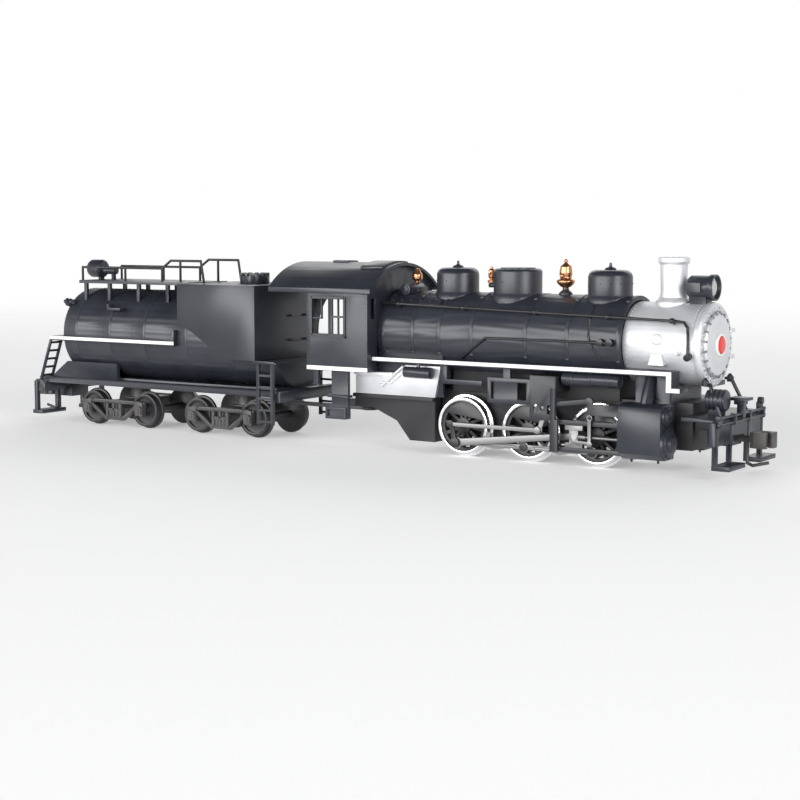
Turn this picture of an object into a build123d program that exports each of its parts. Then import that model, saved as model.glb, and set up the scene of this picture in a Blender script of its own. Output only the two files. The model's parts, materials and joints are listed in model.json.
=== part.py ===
from build123d import *
from math import atan2, cos, degrees, radians, sin, sqrt
import os

# Model steam locomotive with a cylindrical-tank tender, 1:87 scale, gauge 16.5 mm.
# Working frame, mm: X forward from the middle driving axle, Y to the engine's left,
# Z up from the top of the rail. place() moves every piece to the final frame:
# origin under the middle of the whole model, Z = 0 at the bottom of the wheel flanges.

# ---- wheels and track -------------------------------------------------------
GAUGE = 16.5
BACK_TO_BACK = 14.4
WHEEL_WIDTH = 2.8
FLANGE_DEPTH = 0.7
FLANGE_WIDTH = 0.8
WHEEL_BACK = BACK_TO_BACK / 2
WHEEL_FACE = WHEEL_BACK + WHEEL_WIDTH
AXLE_STEP = 19.25
DRIVER_R = 7.4
TRUCK_WHEEL_R = 4.8
TRUCK_WHEELBASE = 20.4
AXLE_R = 1.5
FIT = 0.06                     # running clearance, radial

# ---- length of the whole model ---------------------------------------------
FRONT_END = 61.0               # front coupler knuckle
REAR_END = -179.8              # rear coupler knuckle
MIDDLE_X = (FRONT_END + REAR_END) / 2
COUPLER_Z = 8.2

# ---- rods, all on one side; the other side is their mirror image, a quarter turn on
THROW = 4.1
RIGHT_CRANK_DEG = -98.0
LEFT_CRANK_DEG = -8.0
SIDE_ROD_Y = (10.3, 11.1)
MAIN_ROD_Y = (11.6, 12.4)
RETURN_CRANK_Y = (12.6, 13.1)
ECCENTRIC_ROD_Y = (13.25, 13.75)
ECCENTRIC_R = 1.7
ECCENTRIC_LEAD_DEG = 252.0
ECCENTRIC_ROD_LENGTH = 25.4
PIN_R = 0.8
CROSSHEAD_X = 15.0             # wrist pin at rest, right side
PISTON_Z = DRIVER_R
PISTON_Y = 13.2

# ---- engine body -------------------------------------------------------------
BOILER_Z = 30.4
BOILER_R = 11.3
FIREBOX_HALF = 10.3
BOILER_WALL = 1.0
SMOKEBOX_R = 10.0
SMOKEBOX_REAR = 25.9
SMOKEBOX_FRONT = 44.5
RING_FRONT = 45.9
BACKHEAD_X = -51.0
CAB_REAR = -64.8
CAB_FRONT = -45.0
CAB_HALF = 16.0
CAB_BOTTOM = 20.4
CAB_WALL = 0.7
EAVE_Z = 41.2                  # lower edge of the drip strip
ROOF_EDGE_Z = 42.4             # where the arch meets the strip
ROOF_REAR = -77.0
ROOF_FRONT = -43.5
ROOF_HALF = 17.0
ROOF_PEAK = 49.1
ROOF_THICK = 0.8
BOARD_TOP = 24.5
BOARD_THICK = 1.2
BOARD_HALF = 13.84
BOARD_REAR = -44.9
BOARD_FRONT = 39.5
CYL_REAR = 28.3
CYL_FRONT = 39.5
CYL_OUTER = 17.0
BEAM_X = 51.6
BEAM_HALF = 15.0
DECK_Z = 13.0

# ---- tender ------------------------------------------------------------------
TANK_R = 13.3
TANK_Z = 26.7
TANK_REAR = -157.5
TANK_FRONT = -78.0
TANK_DISH = 3.6
BUNKER_REAR = -112.3
BUNKER_FRONT = -84.3
BUNKER_HALF = 14.0
BUNKER_TOP = 42.5
BUNKER_BOTTOM = 21.6
BUNKER_PLATE = 1.0
TRUCK_X = (-139.2, -98.4)
SILL_TOP = 13.3
SILL_BOTTOM = 11.6
TENDER_BEAM_X = -169.4
WALK_Z = 25.9
FOOTPLATE_Z = 21.0
DRAWBAR_ENGINE_X = -55.0
DRAWBAR_TENDER_X = -84.0
DRAWBAR_Z = 9.0


# ---- small helpers -------------------------------------------------------------
def block(x, y, z):
    """A box between the given low and high values on each axis."""
    centre = Pos((x[0] + x[1]) / 2, (y[0] + y[1]) / 2, (z[0] + z[1]) / 2)
    return centre * Box(abs(x[1] - x[0]), abs(y[1] - y[0]), abs(z[1] - z[0]))


def along_x(radius, x, y, z):
    return Pos((x[0] + x[1]) / 2, y, z) * Rot(0, 90, 0) * Cylinder(radius, abs(x[1] - x[0]))


def along_y(radius, x, y, z):
    return Pos(x, (y[0] + y[1]) / 2, z) * Rot(90, 0, 0) * Cylinder(radius, abs(y[1] - y[0]))


def along_z(radius, x, y, z):
    return Pos(x, y, (z[0] + z[1]) / 2) * Cylinder(radius, abs(z[1] - z[0]))


def bar(start, end, radius):
    """A round bar from one point to another."""
    a = Vector(*start)
    b = Vector(*end)
    return Plane(origin=a, z_dir=b - a) * Pos(0, 0, (b - a).length / 2) * Cylinder(radius, (b - a).length)


def rail(points, radius):
    """A round rail through points: straight bars joined by balls."""
    shape = bar(points[0], points[1], radius)
    for start, end in zip(points[1:], points[2:]):
        shape += Pos(*start) * Sphere(1.04 * radius) + bar(start, end, radius)
    return shape


def profile_xz(points, y):
    """A plate with a straight-sided outline in X and Z, between two Y values."""
    outline = make_face(Polyline([(px, y[0], pz) for px, pz in points], close=True))
    return extrude(outline, amount=abs(y[1] - y[0]), dir=(0, 1 if y[1] > y[0] else -1, 0))


def profile_yz(points, x):
    outline = make_face(Polyline([(x[0], py, pz) for py, pz in points], close=True))
    return extrude(outline, amount=abs(x[1] - x[0]), dir=(1, 0, 0))


def turned(points, x, y):
    """A turned piece standing on a vertical axis, from (radius, height) points."""
    outline = make_face(Polyline([(r, 0, z) for r, z in points], close=True))
    return Pos(x, y, 0) * revolve(outline, Axis.Z, 360)


def turned_x(points, y, z):
    """A turned piece on an axis along X, from (x, radius) points."""
    outline = make_face(Polyline([(px, 0, r) for px, r in points], close=True))
    return Pos(0, y, z) * revolve(outline, Axis.X, 360)


def mirrored(shape):
    return mirror(shape, about=Plane.XZ)


def both(shape):
    return [shape, mirrored(shape)]


def crank_point(degrees_on, radius):
    return radius * cos(radians(degrees_on)), radius * sin(radians(degrees_on))


NODES = {}
SLIVER = 0.02                  # mm3; anything smaller is a leftover of a cut


def place(name, pieces):
    """Collect one node: its solids, moved to the final frame."""
    shift = Pos(-MIDDLE_X, 0, FLANGE_DEPTH)
    if not isinstance(pieces, (list, tuple)):
        pieces = [pieces]
    solids = []
    for piece in pieces:
        solids += [solid for solid in (shift * piece).solids() if solid.volume > SLIVER]
    NODES[name] = solids


# ---- driving wheels ------------------------------------------------------------
RIM_OUTER = 6.55
RIM_INNER = 5.7
HUB_R = 2.1
SPOKES = 12
CENTRE_Y = (WHEEL_BACK + 0.2, WHEEL_FACE - 0.6)


def driver_tyre(x):
    """Right-hand tyre: plain tread, with the flange at the inner edge."""
    tread = along_y(DRIVER_R, x, (-WHEEL_FACE, -WHEEL_BACK), DRIVER_R)
    flange = along_y(DRIVER_R + FLANGE_DEPTH, x, (-WHEEL_BACK - FLANGE_WIDTH, -WHEEL_BACK), DRIVER_R)
    bore = along_y(RIM_OUTER, x, (-WHEEL_FACE - 1, -WHEEL_BACK + 1), DRIVER_R)
    return tread + flange - bore


def driver_centre(x, crank_deg):
    """Right-hand spoked centre with rim, hub, crank boss and counterweight."""
    y = (-CENTRE_Y[1], -CENTRE_Y[0])
    wheel = along_y(RIM_OUTER, x, y, DRIVER_R) - along_y(RIM_INNER, x, (y[0] - 1, y[1] + 1), DRIVER_R)
    wheel += along_y(HUB_R, x, (y[0] - 0.3, y[1]), DRIVER_R)
    for k in range(SPOKES):
        spoke = Pos((RIM_INNER + 1.5) / 2, 0, 0) * Box(RIM_INNER - 1.1, 1.5, 0.75)
        turn = Pos(x, (y[0] + y[1]) / 2, DRIVER_R) * Rot(0, -(crank_deg + 360 / SPOKES * k), 0)
        wheel += turn * spoke
    px, pz = crank_point(crank_deg, THROW)
    wheel += along_y(1.5, x + px, (y[0] - 0.3, y[1]), DRIVER_R + pz)
    weight = along_y(RIM_OUTER - 0.3, x, (y[0] - 0.3, y[1]), DRIVER_R)
    cutter = Pos(-2.6 + 10, 0, 0) * Box(20, 8, 20)
    cutter = Pos(x, (y[0] + y[1]) / 2, DRIVER_R) * Rot(0, -crank_deg, 0) * cutter
    return wheel + (weight - cutter)


def crank_pin(x, crank_deg, outer, head):
    """Right-hand crank pin from the wheel out to the given Y, with a head if asked."""
    px, pz = crank_point(crank_deg, THROW)
    pin = along_y(PIN_R, x + px, (-outer, -CENTRE_Y[1] + 0.2), DRIVER_R + pz)
    if head:
        pin += along_y(1.15, x + px, (-outer, -outer + 0.22), DRIVER_R + pz)
    return pin


def return_crank(x, crank_deg):
    """Arm from the main pin to the eccentric pin, with both ends rounded."""
    y = (-RETURN_CRANK_Y[1], -RETURN_CRANK_Y[0])
    px, pz = crank_point(crank_deg, THROW)
    ex, ez = crank_point(crank_deg + ECCENTRIC_LEAD_DEG, ECCENTRIC_R)
    arm_length = sqrt((ex - px) ** 2 + (ez - pz) ** 2)
    middle = Pos(x + (px + ex) / 2, (y[0] + y[1]) / 2, DRIVER_R + (pz + ez) / 2)
    slope = Vector(ex - px, ez - pz).get_angle(Vector(1, 0))
    if ez < pz:
        slope = -slope
    arm = middle * Rot(0, -slope, 0) * Box(arm_length, y[1] - y[0], 1.3)
    arm += along_y(1.25, x + px, y, DRIVER_R + pz)
    arm += along_y(0.85, x + ex, y, DRIVER_R + ez)
    arm += along_y(0.5, x + ex, (-ECCENTRIC_ROD_Y[1] - 0.3, y[1]), DRIVER_R + ez)
    arm += along_y(0.8, x + ex, (-ECCENTRIC_ROD_Y[1] - 0.35, -ECCENTRIC_ROD_Y[1] - 0.07), DRIVER_R + ez)
    return arm


def driver_axle(x):
    return along_y(AXLE_R, x, (-CENTRE_Y[1], CENTRE_Y[1]), DRIVER_R)


def driver_set(x, main):
    """One axle: the centres of both sides with their pins, pressed on the axle."""
    whole = driver_axle(x)
    for crank_deg, side in ((RIGHT_CRANK_DEG, 1), (LEFT_CRANK_DEG, -1)):
        centre = driver_centre(x, crank_deg)
        if main:
            centre += crank_pin(x, crank_deg, RETURN_CRANK_Y[0] + 0.1, False)
            centre += return_crank(x, crank_deg)
        else:
            centre += crank_pin(x, crank_deg, SIDE_ROD_Y[1] + 0.27, True)
        whole += centre if side == 1 else mirrored(centre)
    return whole


WORM_GEAR_R = 3.2
WORM_R = 1.6
SHAFT_R = 0.75
SHAFT_Z = DRIVER_R + WORM_GEAR_R + WORM_R + 0.15
GEAR_TEETH = 24


def worm_gear():
    gear = along_y(WORM_GEAR_R - 0.25, -AXLE_STEP, (-1.4, 1.4), DRIVER_R)
    for k in range(GEAR_TEETH):
        tooth = Pos(WORM_GEAR_R - 0.25, 0, 0) * Box(0.5, 2.8, 0.38)
        gear += Pos(-AXLE_STEP, 0, DRIVER_R) * Rot(0, 360 / GEAR_TEETH * k, 0) * tooth
    return gear


def make_drivers():
    names = (("rear_driver", -AXLE_STEP), ("middle_driver", 0.0), ("front_driver", AXLE_STEP))
    for name, x in names:
        place(name + "_centres", driver_set(x, name == "rear_driver") + (
            worm_gear() if name == "rear_driver" else driver_axle(x)))
        place(name + "_tyres", both(driver_tyre(x)))


# ---- rods ------------------------------------------------------------------------
def side_rod(crank_deg):
    """Right-hand coupling rod through the three crank pins."""
    px, pz = crank_point(crank_deg, THROW)
    y = (-SIDE_ROD_Y[1], -SIDE_ROD_Y[0])
    z = DRIVER_R + pz
    rod = block((px - AXLE_STEP, px + AXLE_STEP), y, (z - 0.65, z + 0.65))
    rod -= block((px - AXLE_STEP + 3, px - 3), (y[0] - 1, y[0] + 0.25), (z - 0.3, z + 0.3))
    rod -= block((px + 3, px + AXLE_STEP - 3), (y[0] - 1, y[0] + 0.25), (z - 0.3, z + 0.3))
    for x in (-AXLE_STEP, 0, AXLE_STEP):
        rod += along_y(1.45, px + x, y, z)
    for x in (-AXLE_STEP, 0, AXLE_STEP):
        rod -= along_y(PIN_R + FIT, px + x, (y[0] - 1, y[1] + 1), z)
    return rod


def tapered_rod(start, end, y, half_start, half_end, eye_start, eye_end):
    """A flat rod between two (x, z) points with round eyes."""
    dx = end[0] - start[0]
    dz = end[1] - start[1]
    length = sqrt(dx * dx + dz * dz)
    ux, uz = -dz / length, dx / length
    corners = [
        (start[0] + ux * half_start, start[1] + uz * half_start),
        (end[0] + ux * half_end, end[1] + uz * half_end),
        (end[0] - ux * half_end, end[1] - uz * half_end),
        (start[0] - ux * half_start, start[1] - uz * half_start),
    ]
    rod = profile_xz(corners, y)
    return rod + along_y(eye_start, start[0], y, start[1]) + along_y(eye_end, end[0], y, end[1])


MAIN_ROD_LENGTH = sqrt((CROSSHEAD_X + AXLE_STEP - THROW * cos(radians(RIGHT_CRANK_DEG))) ** 2
                       + (THROW * sin(radians(RIGHT_CRANK_DEG))) ** 2)


def crosshead_place(crank_deg):
    """Wrist pin X for a crank angle, from the length of the main rod."""
    px, pz = crank_point(crank_deg, THROW)
    return -AXLE_STEP + px + sqrt(MAIN_ROD_LENGTH ** 2 - pz ** 2)


def main_rod(crank_deg):
    """Right-hand main rod from the rear crank pin to beside the wrist pin."""
    px, pz = crank_point(crank_deg, THROW)
    y = (-MAIN_ROD_Y[1], -MAIN_ROD_Y[0])
    start = (-AXLE_STEP + px, DRIVER_R + pz)
    end = (crosshead_place(crank_deg), PISTON_Z)
    rod = tapered_rod(start, end, y, 0.95, 0.75, 1.7, 1.2)
    rod -= along_y(PIN_R + FIT, start[0], (y[0] - 1, y[1] + 1), start[1])
    return rod - along_y(0.5, end[0], (y[0] - 1, y[1] + 1), end[1])


def eccentric_place(crank_deg):
    ex, ez = crank_point(crank_deg + ECCENTRIC_LEAD_DEG, ECCENTRIC_R)
    return -AXLE_STEP + ex, DRIVER_R + ez


def eccentric_rod(crank_deg):
    """Right-hand eccentric rod from the return crank to beside the link foot."""
    y = (-ECCENTRIC_ROD_Y[1], -ECCENTRIC_ROD_Y[0])
    start = eccentric_place(crank_deg)
    rise = LINK_FOOT_Z - start[1]
    end = (start[0] + sqrt(ECCENTRIC_ROD_LENGTH ** 2 - rise ** 2), start[1] + rise)
    rod = tapered_rod(start, end, y, 0.45, 0.5, 0.9, 0.9)
    return rod - along_y(0.5 + FIT, start[0], (y[0] - 1, y[1] + 1), start[1])


GUIDE_TOP = 10.2
GUIDE_BOTTOM = 4.6
SLIPPER = 4.8


LEVER_X = 19.6
LEVER_Y = (-14.6, -14.15)
LEVER_PIVOT_Z = 12.3
LEVER_LENGTH = 6.4


def lever_foot(crank_deg):
    """X and Z of the combination lever's foot: it leans forward with its crosshead."""
    lean = (crosshead_place(crank_deg) - CROSSHEAD_X) / LEVER_LENGTH
    return LEVER_X + LEVER_LENGTH * sin(lean), LEVER_PIVOT_Z - LEVER_LENGTH * cos(lean)


def crosshead(crank_deg):
    """Right-hand crosshead with wrist pin boss, arm for the union link, and piston rod."""
    x = crosshead_place(crank_deg)
    y = (-13.85, -12.65)
    body = block((x - SLIPPER / 2, x + SLIPPER / 2), y, (GUIDE_TOP - 1.2, GUIDE_TOP - 0.06))
    body += block((x - SLIPPER / 2, x + SLIPPER / 2), y, (GUIDE_BOTTOM + 0.06, GUIDE_BOTTOM + 1.2))
    body += block((x - 1.2, x + 1.2), y, (GUIDE_BOTTOM + 0.5, GUIDE_TOP - 0.5))
    body += along_y(1.1, x, (-13.9, -12.65), PISTON_Z)
    body += along_x(0.75, (x + 1.0, x + 3.2), -PISTON_Y, PISTON_Z)
    body += along_x(0.45, (x + 3.0, x + 19.0), -PISTON_Y, PISTON_Z)
    union = tapered_rod((x, 6.2), lever_foot(crank_deg), (-13.95, -13.55), 0.35, 0.35, 0.5, 0.55)
    return body + union


def combination_lever(crank_deg):
    """Right-hand combination lever, hung on its pivot pin."""
    pivot = (LEVER_X, LEVER_PIVOT_Z)
    lever = tapered_rod(pivot, lever_foot(crank_deg), LEVER_Y, 0.45, 0.4, 0.75, 0.75)
    return lever - along_y(0.4 + FIT, LEVER_X, (-15.5, -13.5), LEVER_PIVOT_Z)


LINK_PIVOT = (6.4, 14.0)
LINK_FOOT_X = 4.9
LINK_FOOT_Z = 8.2


def expansion_link():
    """Right-hand curved link with its foot, swinging on a trunnion."""
    y = (-13.1, -12.65)
    x, z = LINK_PIVOT
    slot = block((x - 1.1, x + 1.1), y, (z - 3.0, z + 3.2))
    slot -= block((x - 0.45, x + 0.45), (y[0] - 1, y[1] + 1), (z - 2.2, z - 0.9))
    slot -= block((x - 0.45, x + 0.45), (y[0] - 1, y[1] + 1), (z + 0.9, z + 2.4))
    foot = tapered_rod((x - 0.4, z - 2.6), (LINK_FOOT_X, LINK_FOOT_Z), y, 0.6, 0.5, 0.6, 0.85)
    trunnion = along_y(0.5, x, (-14.2, y[1]), z)
    return slot + foot + trunnion


def make_rods():
    for side, crank_deg in (("right", RIGHT_CRANK_DEG), ("left", LEFT_CRANK_DEG)):
        pieces = {
            "side_rod_": side_rod(crank_deg),
            "main_rod_": main_rod(crank_deg),
            "eccentric_rod_": eccentric_rod(crank_deg),
            "crosshead_": crosshead(crank_deg),
            "expansion_link_": expansion_link(),
            "combination_lever_": combination_lever(crank_deg),
        }
        for name, piece in pieces.items():
            place(name + side, piece if side == "right" else mirrored(piece))


# ---- chassis -----------------------------------------------------------------------
FRAME_HALF = 6.0
FRAME_BOTTOM = 5.0
FRAME_TOP = 16.5
MOTOR_X = (-40.0, -28.0)
MOTOR_HALF = 4.2
ARM_BOTTOM = 10.0                # rear arm that carries the drawbar pin
CRADLE_TOP = SHAFT_Z - MOTOR_HALF - 0.05


def chassis_frame():
    """Die-cast frame with axle slots, gear tunnel, motor cradle and boiler weight."""
    frame = block((-27.8, 43.0), (-FRAME_HALF, FRAME_HALF), (FRAME_BOTTOM, FRAME_TOP))
    arm = [(-27.0, FRAME_BOTTOM), (-36.5, FRAME_BOTTOM), (-40.5, 6.9), (-48.5, ARM_BOTTOM), (-58.0, ARM_BOTTOM),
           (-58.0, ARM_BOTTOM + 2.0), (-41.6, ARM_BOTTOM + 2.0), (-41.6, CRADLE_TOP), (-27.0, CRADLE_TOP)]
    frame += profile_xz(arm, (-FRAME_HALF, FRAME_HALF))
    frame += block((-24.0, 24.0), (-6.8, 6.8), (FRAME_TOP - 0.5, 34.0))
    frame += block((42.0, BEAM_X - 0.65), (-4.5, 4.5), (COUPLER_Z + 1.75, DECK_Z - 0.05))
    frame -= block((-27.3, -15.0), (-4.3, 4.3), (8.3, 18.5))
    frame -= block((-AXLE_STEP - 3.7, -AXLE_STEP + 3.7), (-1.8, 1.8), (0, 12.0))
    frame -= along_x(3.9, (-28.5, -27.0), 0, SHAFT_Z)
    frame -= along_x(SHAFT_R + FIT, (-16.0, -12.0), 0, SHAFT_Z)
    for x in (-AXLE_STEP, 0, AXLE_STEP):
        frame -= along_y(AXLE_R + FIT, x, (-8, 8), DRIVER_R)
        frame -= block((x - AXLE_R - FIT, x + AXLE_R + FIT), (-8, 8), (0, DRIVER_R))
    frame -= along_z(1.0 + FIT, DRAWBAR_ENGINE_X, 0, (0, 20))
    return frame


def keeper_plate():
    """Bottom cover that holds the axles in their slots."""
    plate = block((-27.0, 30.0), (-5.6, 5.6), (FRAME_BOTTOM - 0.8, FRAME_BOTTOM))
    plate -= block((-AXLE_STEP - 3.7, -AXLE_STEP + 3.7), (-1.8, 1.8), (0, 12.0))
    for x in (-9.6, 26.0):
        plate += along_z(1.2, x, 0, (FRAME_BOTTOM - 1.2, FRAME_BOTTOM - 0.6))
    return plate


def motor():
    """Can motor lying in the cradle, open at the front for the shaft."""
    can = block(MOTOR_X, (-MOTOR_HALF, MOTOR_HALF), (SHAFT_Z - MOTOR_HALF, SHAFT_Z + MOTOR_HALF))
    can = fillet(can.edges().filter_by(Axis.X), 1.4)
    can += along_x(2.0, (MOTOR_X[0] - 1.2, MOTOR_X[0] + 0.2), 0, SHAFT_Z)
    return can - along_x(SHAFT_R + FIT, (MOTOR_X[1] - 6.0, MOTOR_X[1] + 1), 0, SHAFT_Z)


def worm_shaft():
    """Motor shaft with flywheel and worm, running in the motor and the frame."""
    shaft = along_x(SHAFT_R, (MOTOR_X[1] - 5.5, -12.6), 0, SHAFT_Z)
    shaft += along_x(3.6, (-26.8, -24.6), 0, SHAFT_Z)
    return shaft + along_x(WORM_R, (-22.6, -16.0), 0, SHAFT_Z)


def cylinder_block():
    """Right-hand cylinder and valve chest in one jacket, with front covers."""
    outline = [(-9.0, 3.2), (-14.2, 3.2), (-16.3, 4.6), (-CYL_OUTER, 6.6), (-CYL_OUTER, 14.6),
               (-16.4, 15.9), (-15.0, 16.6), (-11.2, 16.6), (-9.0, 16.0)]
    block_shape = profile_yz(outline, (CYL_REAR, CYL_FRONT))
    cover = [(39.4, 0), (39.4, 3.78), (40.2, 3.78), (40.2, 3.3), (40.7, 3.1), (40.7, 2.2), (41.5, 1.9), (41.6, 0)]
    block_shape += turned_x(cover, -PISTON_Y, PISTON_Z - 0.1)
    valve = [(39.4, 0), (39.4, 2.2), (40.1, 2.2), (40.1, 1.7), (40.8, 1.4), (41.0, 0)]
    block_shape += turned_x(valve, -14.0, 13.9)
    block_shape += along_x(1.6, (27.5, 28.5), -PISTON_Y, PISTON_Z)
    return block_shape - along_x(0.45 + FIT, (27.0, 39.2), -PISTON_Y, PISTON_Z)


STEAM_PIPE_R = 1.5


def steam_pipe(radius):
    return bar((33.6, -12.4, 16.0), (33.6, -8.6, 24.0), radius)


def cylinder_blocks():
    """Both cylinders and the saddle that carries the smokebox, one casting."""
    casting = cylinder_block() + mirrored(cylinder_block())
    saddle = block((29.5, 38.5), (-9.5, 9.5), (10.5, BOARD_TOP - BOARD_THICK - 0.1))
    saddle -= along_x(SMOKEBOX_R + 0.02, (20, 50), 0, BOILER_Z)
    casting += saddle
    casting += steam_pipe(STEAM_PIPE_R) + mirrored(steam_pipe(STEAM_PIPE_R))
    casting -= along_x(SMOKEBOX_R + 0.02, (20, 50), 0, BOILER_Z)
    casting -= block((20, 50), (-FRAME_HALF - 0.02, FRAME_HALF + 0.02), (0, FRAME_TOP + 0.02))
    return casting


def guide_yoke():
    """Right-hand guides, yoke, link hanger, radius rod and valve stem guide."""
    yoke = block((8.9, 11.0), (-14.9, -13.95), (3.3, 11.4))
    for z in ((GUIDE_TOP, GUIDE_TOP + 1.1), (GUIDE_BOTTOM - 1.1, GUIDE_BOTTOM)):
        yoke += block((8.9, CYL_REAR), (-13.6, -12.65), z)
        yoke += block((8.9, 11.0), (-14.9, -12.65), z)
    yoke += block((8.9, 10.2), (-14.9, -13.95), (11.0, 19.0))
    yoke += block((3.0, 10.2), (-14.5, -13.95), (11.0, 19.0))
    yoke += block((3.0, 10.2), (-14.5, -6.82), (18.0, 22.0))
    yoke -= along_y(0.5 + FIT, LINK_PIVOT[0], (-15, -13.5), LINK_PIVOT[1])
    yoke -= block((3.9, 4.9), (-15, -13.5), (12.6, 14.8))
    yoke -= block((7.9, 8.7), (-15, -13.5), (12.6, 14.8))
    stem = block((18.6, CYL_REAR), (-13.9, -12.7), (12.9, 15.6))
    stem += along_y(0.4, LEVER_X, (-14.8, -13.8), LEVER_PIVOT_Z)
    stem += block((18.9, 20.3), (-13.9, -12.9), (11.5, 13.0))
    rod = tapered_rod((9.5, 15.1), (19.2, 16.3), (-13.9, -13.2), 0.5, 0.6, 0.7, 0.95)
    yoke -= along_x(BOILER_R + 0.3, (0, 20), 0, BOILER_Z)
    return yoke + stem + rod


def ash_pan():
    """Ash pan below the firebox, cut away for the motor."""
    outline = [(-53.6, 14.2), (-28.2, 14.2), (-28.2, 2.4), (-36.0, 2.4), (-40.2, 7.4), (-47.8, 10.5), (-53.6, 10.6)]
    pan = profile_xz(outline, (-9.2, 9.2)) + block((-53.6, -28.2), (-10.4, 10.4), (13.2, 14.2))
    return pan - block((-60, -20), (-FRAME_HALF - 0.05, FRAME_HALF + 0.05), (FRAME_BOTTOM - 0.05, 30))


def make_chassis():
    place("chassis_frame", chassis_frame())
    place("keeper_plate", keeper_plate())
    place("motor", motor())
    place("worm_shaft", worm_shaft())
    place("cylinder_blocks", cylinder_blocks())
    place("guide_yokes", both(guide_yoke()))
    place("ash_pan", ash_pan())


# ---- boiler ----------------------------------------------------------------------
BAND_X = (-43.4, -34.1, -25.9, -16.2, -0.4, 11.4, 25.3)
BAND_RAISED = 0.12


def boiler_outside():
    """The barrel with its jacket bands, filled; everything on the boiler is cut to it."""
    shape = along_x(BOILER_R, (BACKHEAD_X, SMOKEBOX_REAR), 0, BOILER_Z)
    for x in BAND_X:
        shape += along_x(BOILER_R + BAND_RAISED, (x - 0.5, x + 0.5), 0, BOILER_Z)
    return shape


def boiler_shell():
    """Barrel, firebox sides and backhead as one hollow moulding, open below."""
    shell = boiler_outside()
    inside = along_x(BOILER_R - BOILER_WALL, (BACKHEAD_X + 1.2, SMOKEBOX_REAR + 1), 0, BOILER_Z)
    shell -= inside
    inner = FIREBOX_HALF - BOILER_WALL
    sides = block((BACKHEAD_X, -25.0), (-FIREBOX_HALF, FIREBOX_HALF), (14.5, BOILER_Z - 3))
    sides -= block((BACKHEAD_X + 1.2, -20.0), (-inner, inner), (0, BOILER_Z + 1))
    shell += sides - inside
    shell -= block((BACKHEAD_X + 1.2, 30.0), (-7.0, 7.0), (0, 28.0))
    shell -= block((BACKHEAD_X - 1, CAB_FRONT - CAB_WALL), (-20, 20), (0, CAB_BOTTOM + 1.25))
    door = along_x(2.4, (BACKHEAD_X - 0.7, BACKHEAD_X + 0.1), 0, 27.0)
    gauges = [along_x(1.2, (BACKHEAD_X - 0.6, BACKHEAD_X + 0.1), y, 36.2) for y in (-3.4, 0, 3.4)]
    throttle = bar((BACKHEAD_X - 0.2, 0, 33.4), (BACKHEAD_X - 0.2, -5.0, 31.8), 0.45)
    shell += door + throttle
    for gauge in gauges:
        shell += gauge
    return shell + turret()


def smokebox():
    """Silver smokebox drum behind the front ring, hollow."""
    drum = along_x(SMOKEBOX_R, (SMOKEBOX_REAR, SMOKEBOX_FRONT), 0, BOILER_Z)
    drum -= along_x(SMOKEBOX_R - 1.2, (SMOKEBOX_REAR - 1, SMOKEBOX_FRONT + 1), 0, BOILER_Z)
    return drum


DOOR_FRONT = RING_FRONT + 1.3


def smokebox_front():
    """Bolted ring and domed door."""
    points = [(SMOKEBOX_FRONT, 0), (SMOKEBOX_FRONT, 10.3), (RING_FRONT - 0.4, 10.3), (RING_FRONT, 9.9),
              (RING_FRONT + 0.2, 9.6), (RING_FRONT + 0.2, 8.3), (RING_FRONT - 0.3, 8.1), (RING_FRONT - 0.3, 7.8),
              (RING_FRONT + 0.6, 7.65), (RING_FRONT + 0.9, 7.3), (RING_FRONT + 1.0, 5.2),
              (DOOR_FRONT - 0.1, 4.6), (DOOR_FRONT, 0)]
    front = turned_x(points, 0, BOILER_Z)
    for k in range(20):
        turn = Pos(0, 0, BOILER_Z) * Rot(360 / 20 * k, 0, 0)
        front += turn * along_x(0.3, (RING_FRONT, RING_FRONT + 0.5), 8.95, 0)
    for z in (-3.2, 3.2):
        hinge = block((RING_FRONT - 0.1, RING_FRONT + 1.3), (6.6, 9.0), (BOILER_Z + z - 0.45, BOILER_Z + z + 0.45))
        front += hinge
    return front


def number_plate():
    plate = [(DOOR_FRONT + 0.02, 0), (DOOR_FRONT + 0.02, 2.15), (DOOR_FRONT + 0.5, 2.05), (DOOR_FRONT + 0.5, 0)]
    return turned_x(plate, 0, BOILER_Z)


def smokestack():
    """Flared base, straight barrel and rolled lip, bored through."""
    x = 34.8
    outer = [(0, 39.0), (4.6, 39.0), (4.3, 40.6), (3.4, 41.6), (3.15, 43.0), (3.35, 49.6), (3.85, 50.2),
             (3.85, 51.2), (3.5, 51.4), (0, 51.4)]
    stack = turned(outer, x, 0) - along_x(SMOKEBOX_R + 0.02, (20, 50), 0, BOILER_Z)
    return stack - along_z(2.6, x, 0, (41.4, 60))


def dome(x, radius, top, round_height):
    """A turned dome with a flared foot, standing on the boiler."""
    foot = BOILER_Z + BOILER_R
    profile = [(0, foot - 2.5), (radius + 0.9, foot - 2.5), (radius + 0.6, foot - 0.9), (radius, foot + 0.2),
               (radius, top - round_height)]
    for k in range(1, 7):
        a = radians(15 * k)
        profile.append((radius - round_height * (1 - cos(a)), top - round_height * (1 - sin(a))))
    profile.append((0, top))
    return turned(profile, x, 0) - boiler_outside()


def finial(x, top):
    return turned([(0, top - 0.1), (1.6, top - 0.1), (1.3, top + 0.5), (0.4, top + 0.9), (0.3, top + 1.7), (0, top + 1.9)],
                  x, 0)


WHISTLE_X = -16.5
WHISTLE_FOOT = 44.2


def steam_dome():
    """Flat-topped dome, with the elbow that carries the whistle behind it."""
    x, top = -8.7, 48.0
    elbow = along_x(0.6, (WHISTLE_X - 0.7, x - 5.5), 0, WHISTLE_FOOT - 0.65)
    return dome(x, 6.3, top, 0.9) + along_z(4.6, x, 0, (top - 0.1, top + 0.25)) + elbow


def boiler_top():
    return BOILER_Z + BOILER_R


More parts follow.
